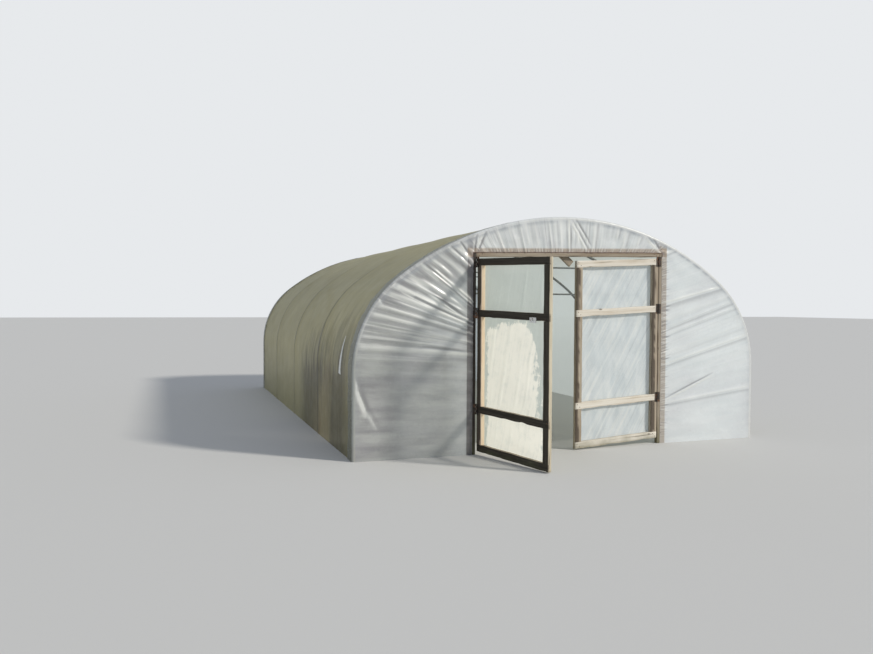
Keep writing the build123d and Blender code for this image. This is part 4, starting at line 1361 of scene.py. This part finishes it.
hinge_steel = steel_material("hinge_steel", HINGE_LIGHT, HINGE_DARK, *HINGE_RUST)
for side in LEAF_HANDS:
    dress(hinge_steel, f"{side}_hinge_post_plates", f"{side}_door_hinge_plates")
latch_material, latch_tree, latch_shader = new_material("latch_paint")
latch_place = object_place(latch_tree)
rust = use_group(latch_tree, rust_group, Vector=latch_place, Scale=LATCH_RUST_PER_METRE, Amount=LATCH_RUST)
latch_paint = latch_place.noise(60.0, 5.0).spread(0.40, 0.70).blend(LATCH_WHITE, LATCH_GREY)
latch_skin = rust["Mask"].blend(latch_paint, rust["Colour"])
coat(latch_shader, latch_skin, rust["Mask"].between(0.35, 0.90), rust["Height"].bump(0.5, 0.001))
dress(latch_material, "left_door_latch")


# Nails and screws
# Round wire nails through every lap of the leaves and into the ends of the header, and three
# screws in each hinge plate. Their heads stand a little proud and have rusted.
NAIL_RADIUS, NAIL_HEIGHT = 0.0045, 0.0013
SCREW_RADIUS, SCREW_HEIGHT = 0.0042, 0.0012
STUD_SIDES, STUD_SHARP = 10, np.radians(60)
STUD_PROFILE = ((1.0, -0.6), (1.0, 0.45), (0.72, 0.85), (0.30, 1.0))
HINGE_RAILS = ("top_rail", "mid_rail", "lower_rail")
SCREW_RISES = (-0.040, 0.0, 0.040)
NAIL_PAIR = (0.30, 0.70)
# Along the header, as a share, and up from its lower edge
HEADER_NAILS = ((0.015, 0.012), (0.030, 0.030), (0.970, 0.030), (0.985, 0.012))
FLAP_MIDDLE, FLAP_THICKNESS = 0.020, 0.0025


def many(name, points, body, sharp=None):
    """Small closed pieces as one mesh, from points held as pieces, by rings, by points round each."""
    count, rings, sides = points.shape[:3]
    one = tube_faces(rings, sides)
    faces = [[corner + rings * sides * number for corner in face] for number in range(count) for face in one]
    piece = mesh_object(name, points, faces)
    turn_outwards(piece)
    if sharp:
        piece.data.set_sharp_from_angle(angle=sharp)
    fit(piece, hinge_steel, "hinge_steel", body)


def studs(name, places, out, radius, height, body):
    """Round heads standing along out: for each place, rings of the profile's radii and heights."""
    places, out = np.asarray(places, float).reshape(-1, 3), np.asarray(out, float)
    across = np.cross(out, (0.0, 0.0, 1.0))
    across /= np.linalg.norm(across)
    turn = np.linspace(0, 2 * np.pi, STUD_SIDES, endpoint=False)
    circle = np.cos(turn)[:, None] * across + np.sin(turn)[:, None] * np.cross(out, across)
    profile = np.array(STUD_PROFILE)
    rings = profile[:, 0, None, None] * radius * circle + profile[:, 1, None, None] * height * out
    many(name, places[:, None, None, :] + rings, body, STUD_SHARP)


header_low, header_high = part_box("door_header")
nail_shares, nail_rises = np.array(HEADER_NAILS).T
nail_x = header_low[0] + nail_shares * (header_high[0] - header_low[0])
nail_z = header_low[2] + HEADER_CLIMB * nail_shares + nail_rises
header_nails = points_of(nail_x, header_low[1], nail_z)
studs("header_nails", header_nails, (0, -1, 0), NAIL_RADIUS, NAIL_HEIGHT, "frame")
for side, hand in LEAF_HANDS.items():
    tops = leaf_tops[side]
    nails = [
        (start + share * STILE_WIDTH, top - (1 - share) * RAIL_HEIGHT)
        for start in (NEAR_EDGE, far_stile)
        for top in tops.values()
        for share in NAIL_PAIR
    ]
    along, up = np.array(nails).T
    face = on_leaf(side, along, up, 0.0)
    outward = on_leaf(side, 0.0, 0.0, -1.0) - on_leaf(side, 0.0, 0.0, 0.0)
    studs(f"{side}_leaf_nails", face, outward, NAIL_RADIUS, NAIL_HEIGHT, f"{side}_door")
    hinge_middles = np.array([tops[name] - RAIL_HEIGHT / 2 for name in HINGE_RAILS])
    heights = np.add.outer(hinge_middles, SCREW_RISES).ravel()
    on_plates = on_leaf(side, FLAP_MIDDLE, heights, -FLAP_THICKNESS)
    studs(f"{side}_leaf_screws", on_plates, outward, SCREW_RADIUS, SCREW_HEIGHT, f"{side}_door")
    plate_x = hand * (POST_INNER - NEAR_EDGE + FLAP_MIDDLE)
    plate_y = FRONT_HINGE_Y + FACE_SET_BACK - FLAP_THICKNESS
    on_post = points_of(plate_x, plate_y, heights)
    studs(f"{side}_post_screws", on_post, (0, -1, 0), SCREW_RADIUS, SCREW_HEIGHT, "frame")


# Staples
# Bent wire staples that hold the film to the timber: a row along the doorway's edge in front,
# and one round the back of each leaf.
STAPLE_WIDTH, STAPLE_RISE, STAPLE_LEG_END, STAPLE_WIRE = 0.0110, 0.0016, -0.003, 0.0008
STAPLE_SPACING, STAPLE_INSET = 0.085, 0.010
STAPLE_SIDES = 6
# Where each row starts, and how far short of the next corner it ends: up the posts, along
# the header, up the stiles and along the rails
POST_ROW, HEADER_ROW, STILE_ROW, RAIL_ROW = (0.12, 0.02), (0.03, 0.02), (0.06, 0.04), (0.1, 0.04)


def staple_row(start, end, ends, spacing=STAPLE_SPACING):
    """Places of a row of staples between two corners, set in from each by its own distance."""
    return np.arange(start + ends[0], end - ends[1], spacing)


def staples(name, places, along, out, body):
    """Bent wires in a row: up one leg, across and down the other, with a six sided section.

    At each bend the section lies in the plane that halves the bend.
    """
    places, along, out = (np.atleast_2d(np.asarray(part, float)) for part in (places, along, out))
    along, out = np.broadcast_to(along, places.shape), np.broadcast_to(out, places.shape)
    aside = np.cross(along, out)
    turn = np.linspace(0, 2 * np.pi, STAPLE_SIDES, endpoint=False)
    half = STAPLE_WIDTH / 2
    left_leg = ((-half, STAPLE_LEG_END, 1, 0), (-half, STAPLE_RISE, 1, -1))
    stations = (*left_leg, (half, STAPLE_RISE, 1, 1), (half, STAPLE_LEG_END, 1, 0))
    rings = []
    for across, rise, lean_along, lean_out in stations:
        centre = places + across * along + rise * out
        lean = (lean_along * along + lean_out * out)[:, None] * np.cos(turn)[:, None]
        rings.append(centre[:, None] + STAPLE_WIRE * (lean + aside[:, None] * np.sin(turn)[:, None]))
    many(name, np.stack(rings, axis=1), body)


staple_y = FRONT_Y - END_RADIUS
for side, hand in LEAF_HANDS.items():
    top = CORNER_LEFT if side == "left" else CORNER_RIGHT
    rises = staple_row(0.0, top, POST_ROW)
    places = points_of(hand * (FILM_EDGE + STAPLE_INSET), staple_y, rises)
    staples(f"{side}_post_staples", places, (0, 0, 1), (0, -1, 0), "frame")
staple_x = staple_row(-FILM_EDGE, FILM_EDGE, HEADER_ROW)
staple_z = (CORNER_LEFT + CORNER_RIGHT) / 2 + HEADER_SLOPE * staple_x + STAPLE_INSET
places = points_of(staple_x, staple_y, staple_z)
staples("header_staples", places, (1, 0, HEADER_SLOPE), (0, -1, 0), "frame")
for side in LEAF_HANDS:
    head, foot = leaf_heads[side], leaf_feet[side]
    near, far = NEAR_EDGE + STILE_WIDTH / 2, far_stile + STILE_WIDTH / 2
    ups = staple_row(foot, head, STILE_ROW, 2 * STAPLE_SPACING)
    alongs = staple_row(near, far, RAIL_ROW, 2 * STAPLE_SPACING)
    ring = [(place, up) for place in (near, far) for up in ups]
    ring += [(place, up) for place in alongs for up in (head - RAIL_HEIGHT / 2, foot + RAIL_HEIGHT / 2)]
    along, up = np.array(ring).T
    axes = on_leaf(side, [0, 0, 0], [0, 1, 0], [0, 0, 1.0])
    upward, inward = axes[1] - axes[0], axes[2] - axes[0]
    places = on_leaf(side, along, up, LEAF_DEPTH + DOOR_FILM_BACK)
    staples(f"{side}_leaf_staples", places, upward, inward, f"{side}_door")


# Repair tape
# A strip of white greenhouse tape over a tear in the left side of the cover, near the front.
# It is cut to a taper, and its wide end is at the bottom.
STRIP_START = (0.555, 1.245)
STRIP_END = (0.600, 0.830)
STRIP_TOP_WIDTH, STRIP_WIDTH = 0.020, 0.110
STRIP_PROUD = 0.0016
STRIP_ROWS, STRIP_COLUMNS = 60, 8
TAPE_WHITE = (0.86, 0.86, 0.81)
TAPE_GREY = (0.68, 0.68, 0.62)

strip_material, strip_tree, strip_shader = new_material("repair_tape")
strip_grime = object_place(strip_tree).noise(18.0, 6.0, 0.65)
strip_skin = strip_grime.spread(0.46, 0.74).blend(TAPE_WHITE, TAPE_GREY)
coat(strip_shader, strip_skin, strip_grime.spread(0.3, 0.7, 0.30, 0.55), strip_grime.bump(0.3, 0.001))
strip_share = np.linspace(0, 1, STRIP_ROWS)[:, None]
strip_widths = STRIP_TOP_WIDTH + (STRIP_WIDTH - STRIP_TOP_WIDTH) * strip_share
strip_across = np.linspace(-0.5, 0.5, STRIP_COLUMNS)[None, :] * strip_widths
strip_length = np.hypot(STRIP_END[0] - STRIP_START[0], STRIP_END[1] - STRIP_START[1])
strip_along = (np.array(STRIP_END) - STRIP_START) / strip_length
strip_y = STRIP_START[0] + strip_share * strip_length * strip_along[0] - strip_across * strip_along[1]
strip_run = STRIP_START[1] + strip_share * strip_length * strip_along[1] + strip_across * strip_along[0]
strip_points = cover_points(strip_run, FRONT_Y + strip_y, STRIP_PROUD)
repair_strip = mesh_object("repair_strip", strip_points, grid_faces(STRIP_ROWS, STRIP_COLUMNS))
fit(repair_strip, strip_material, "tape", "frame")
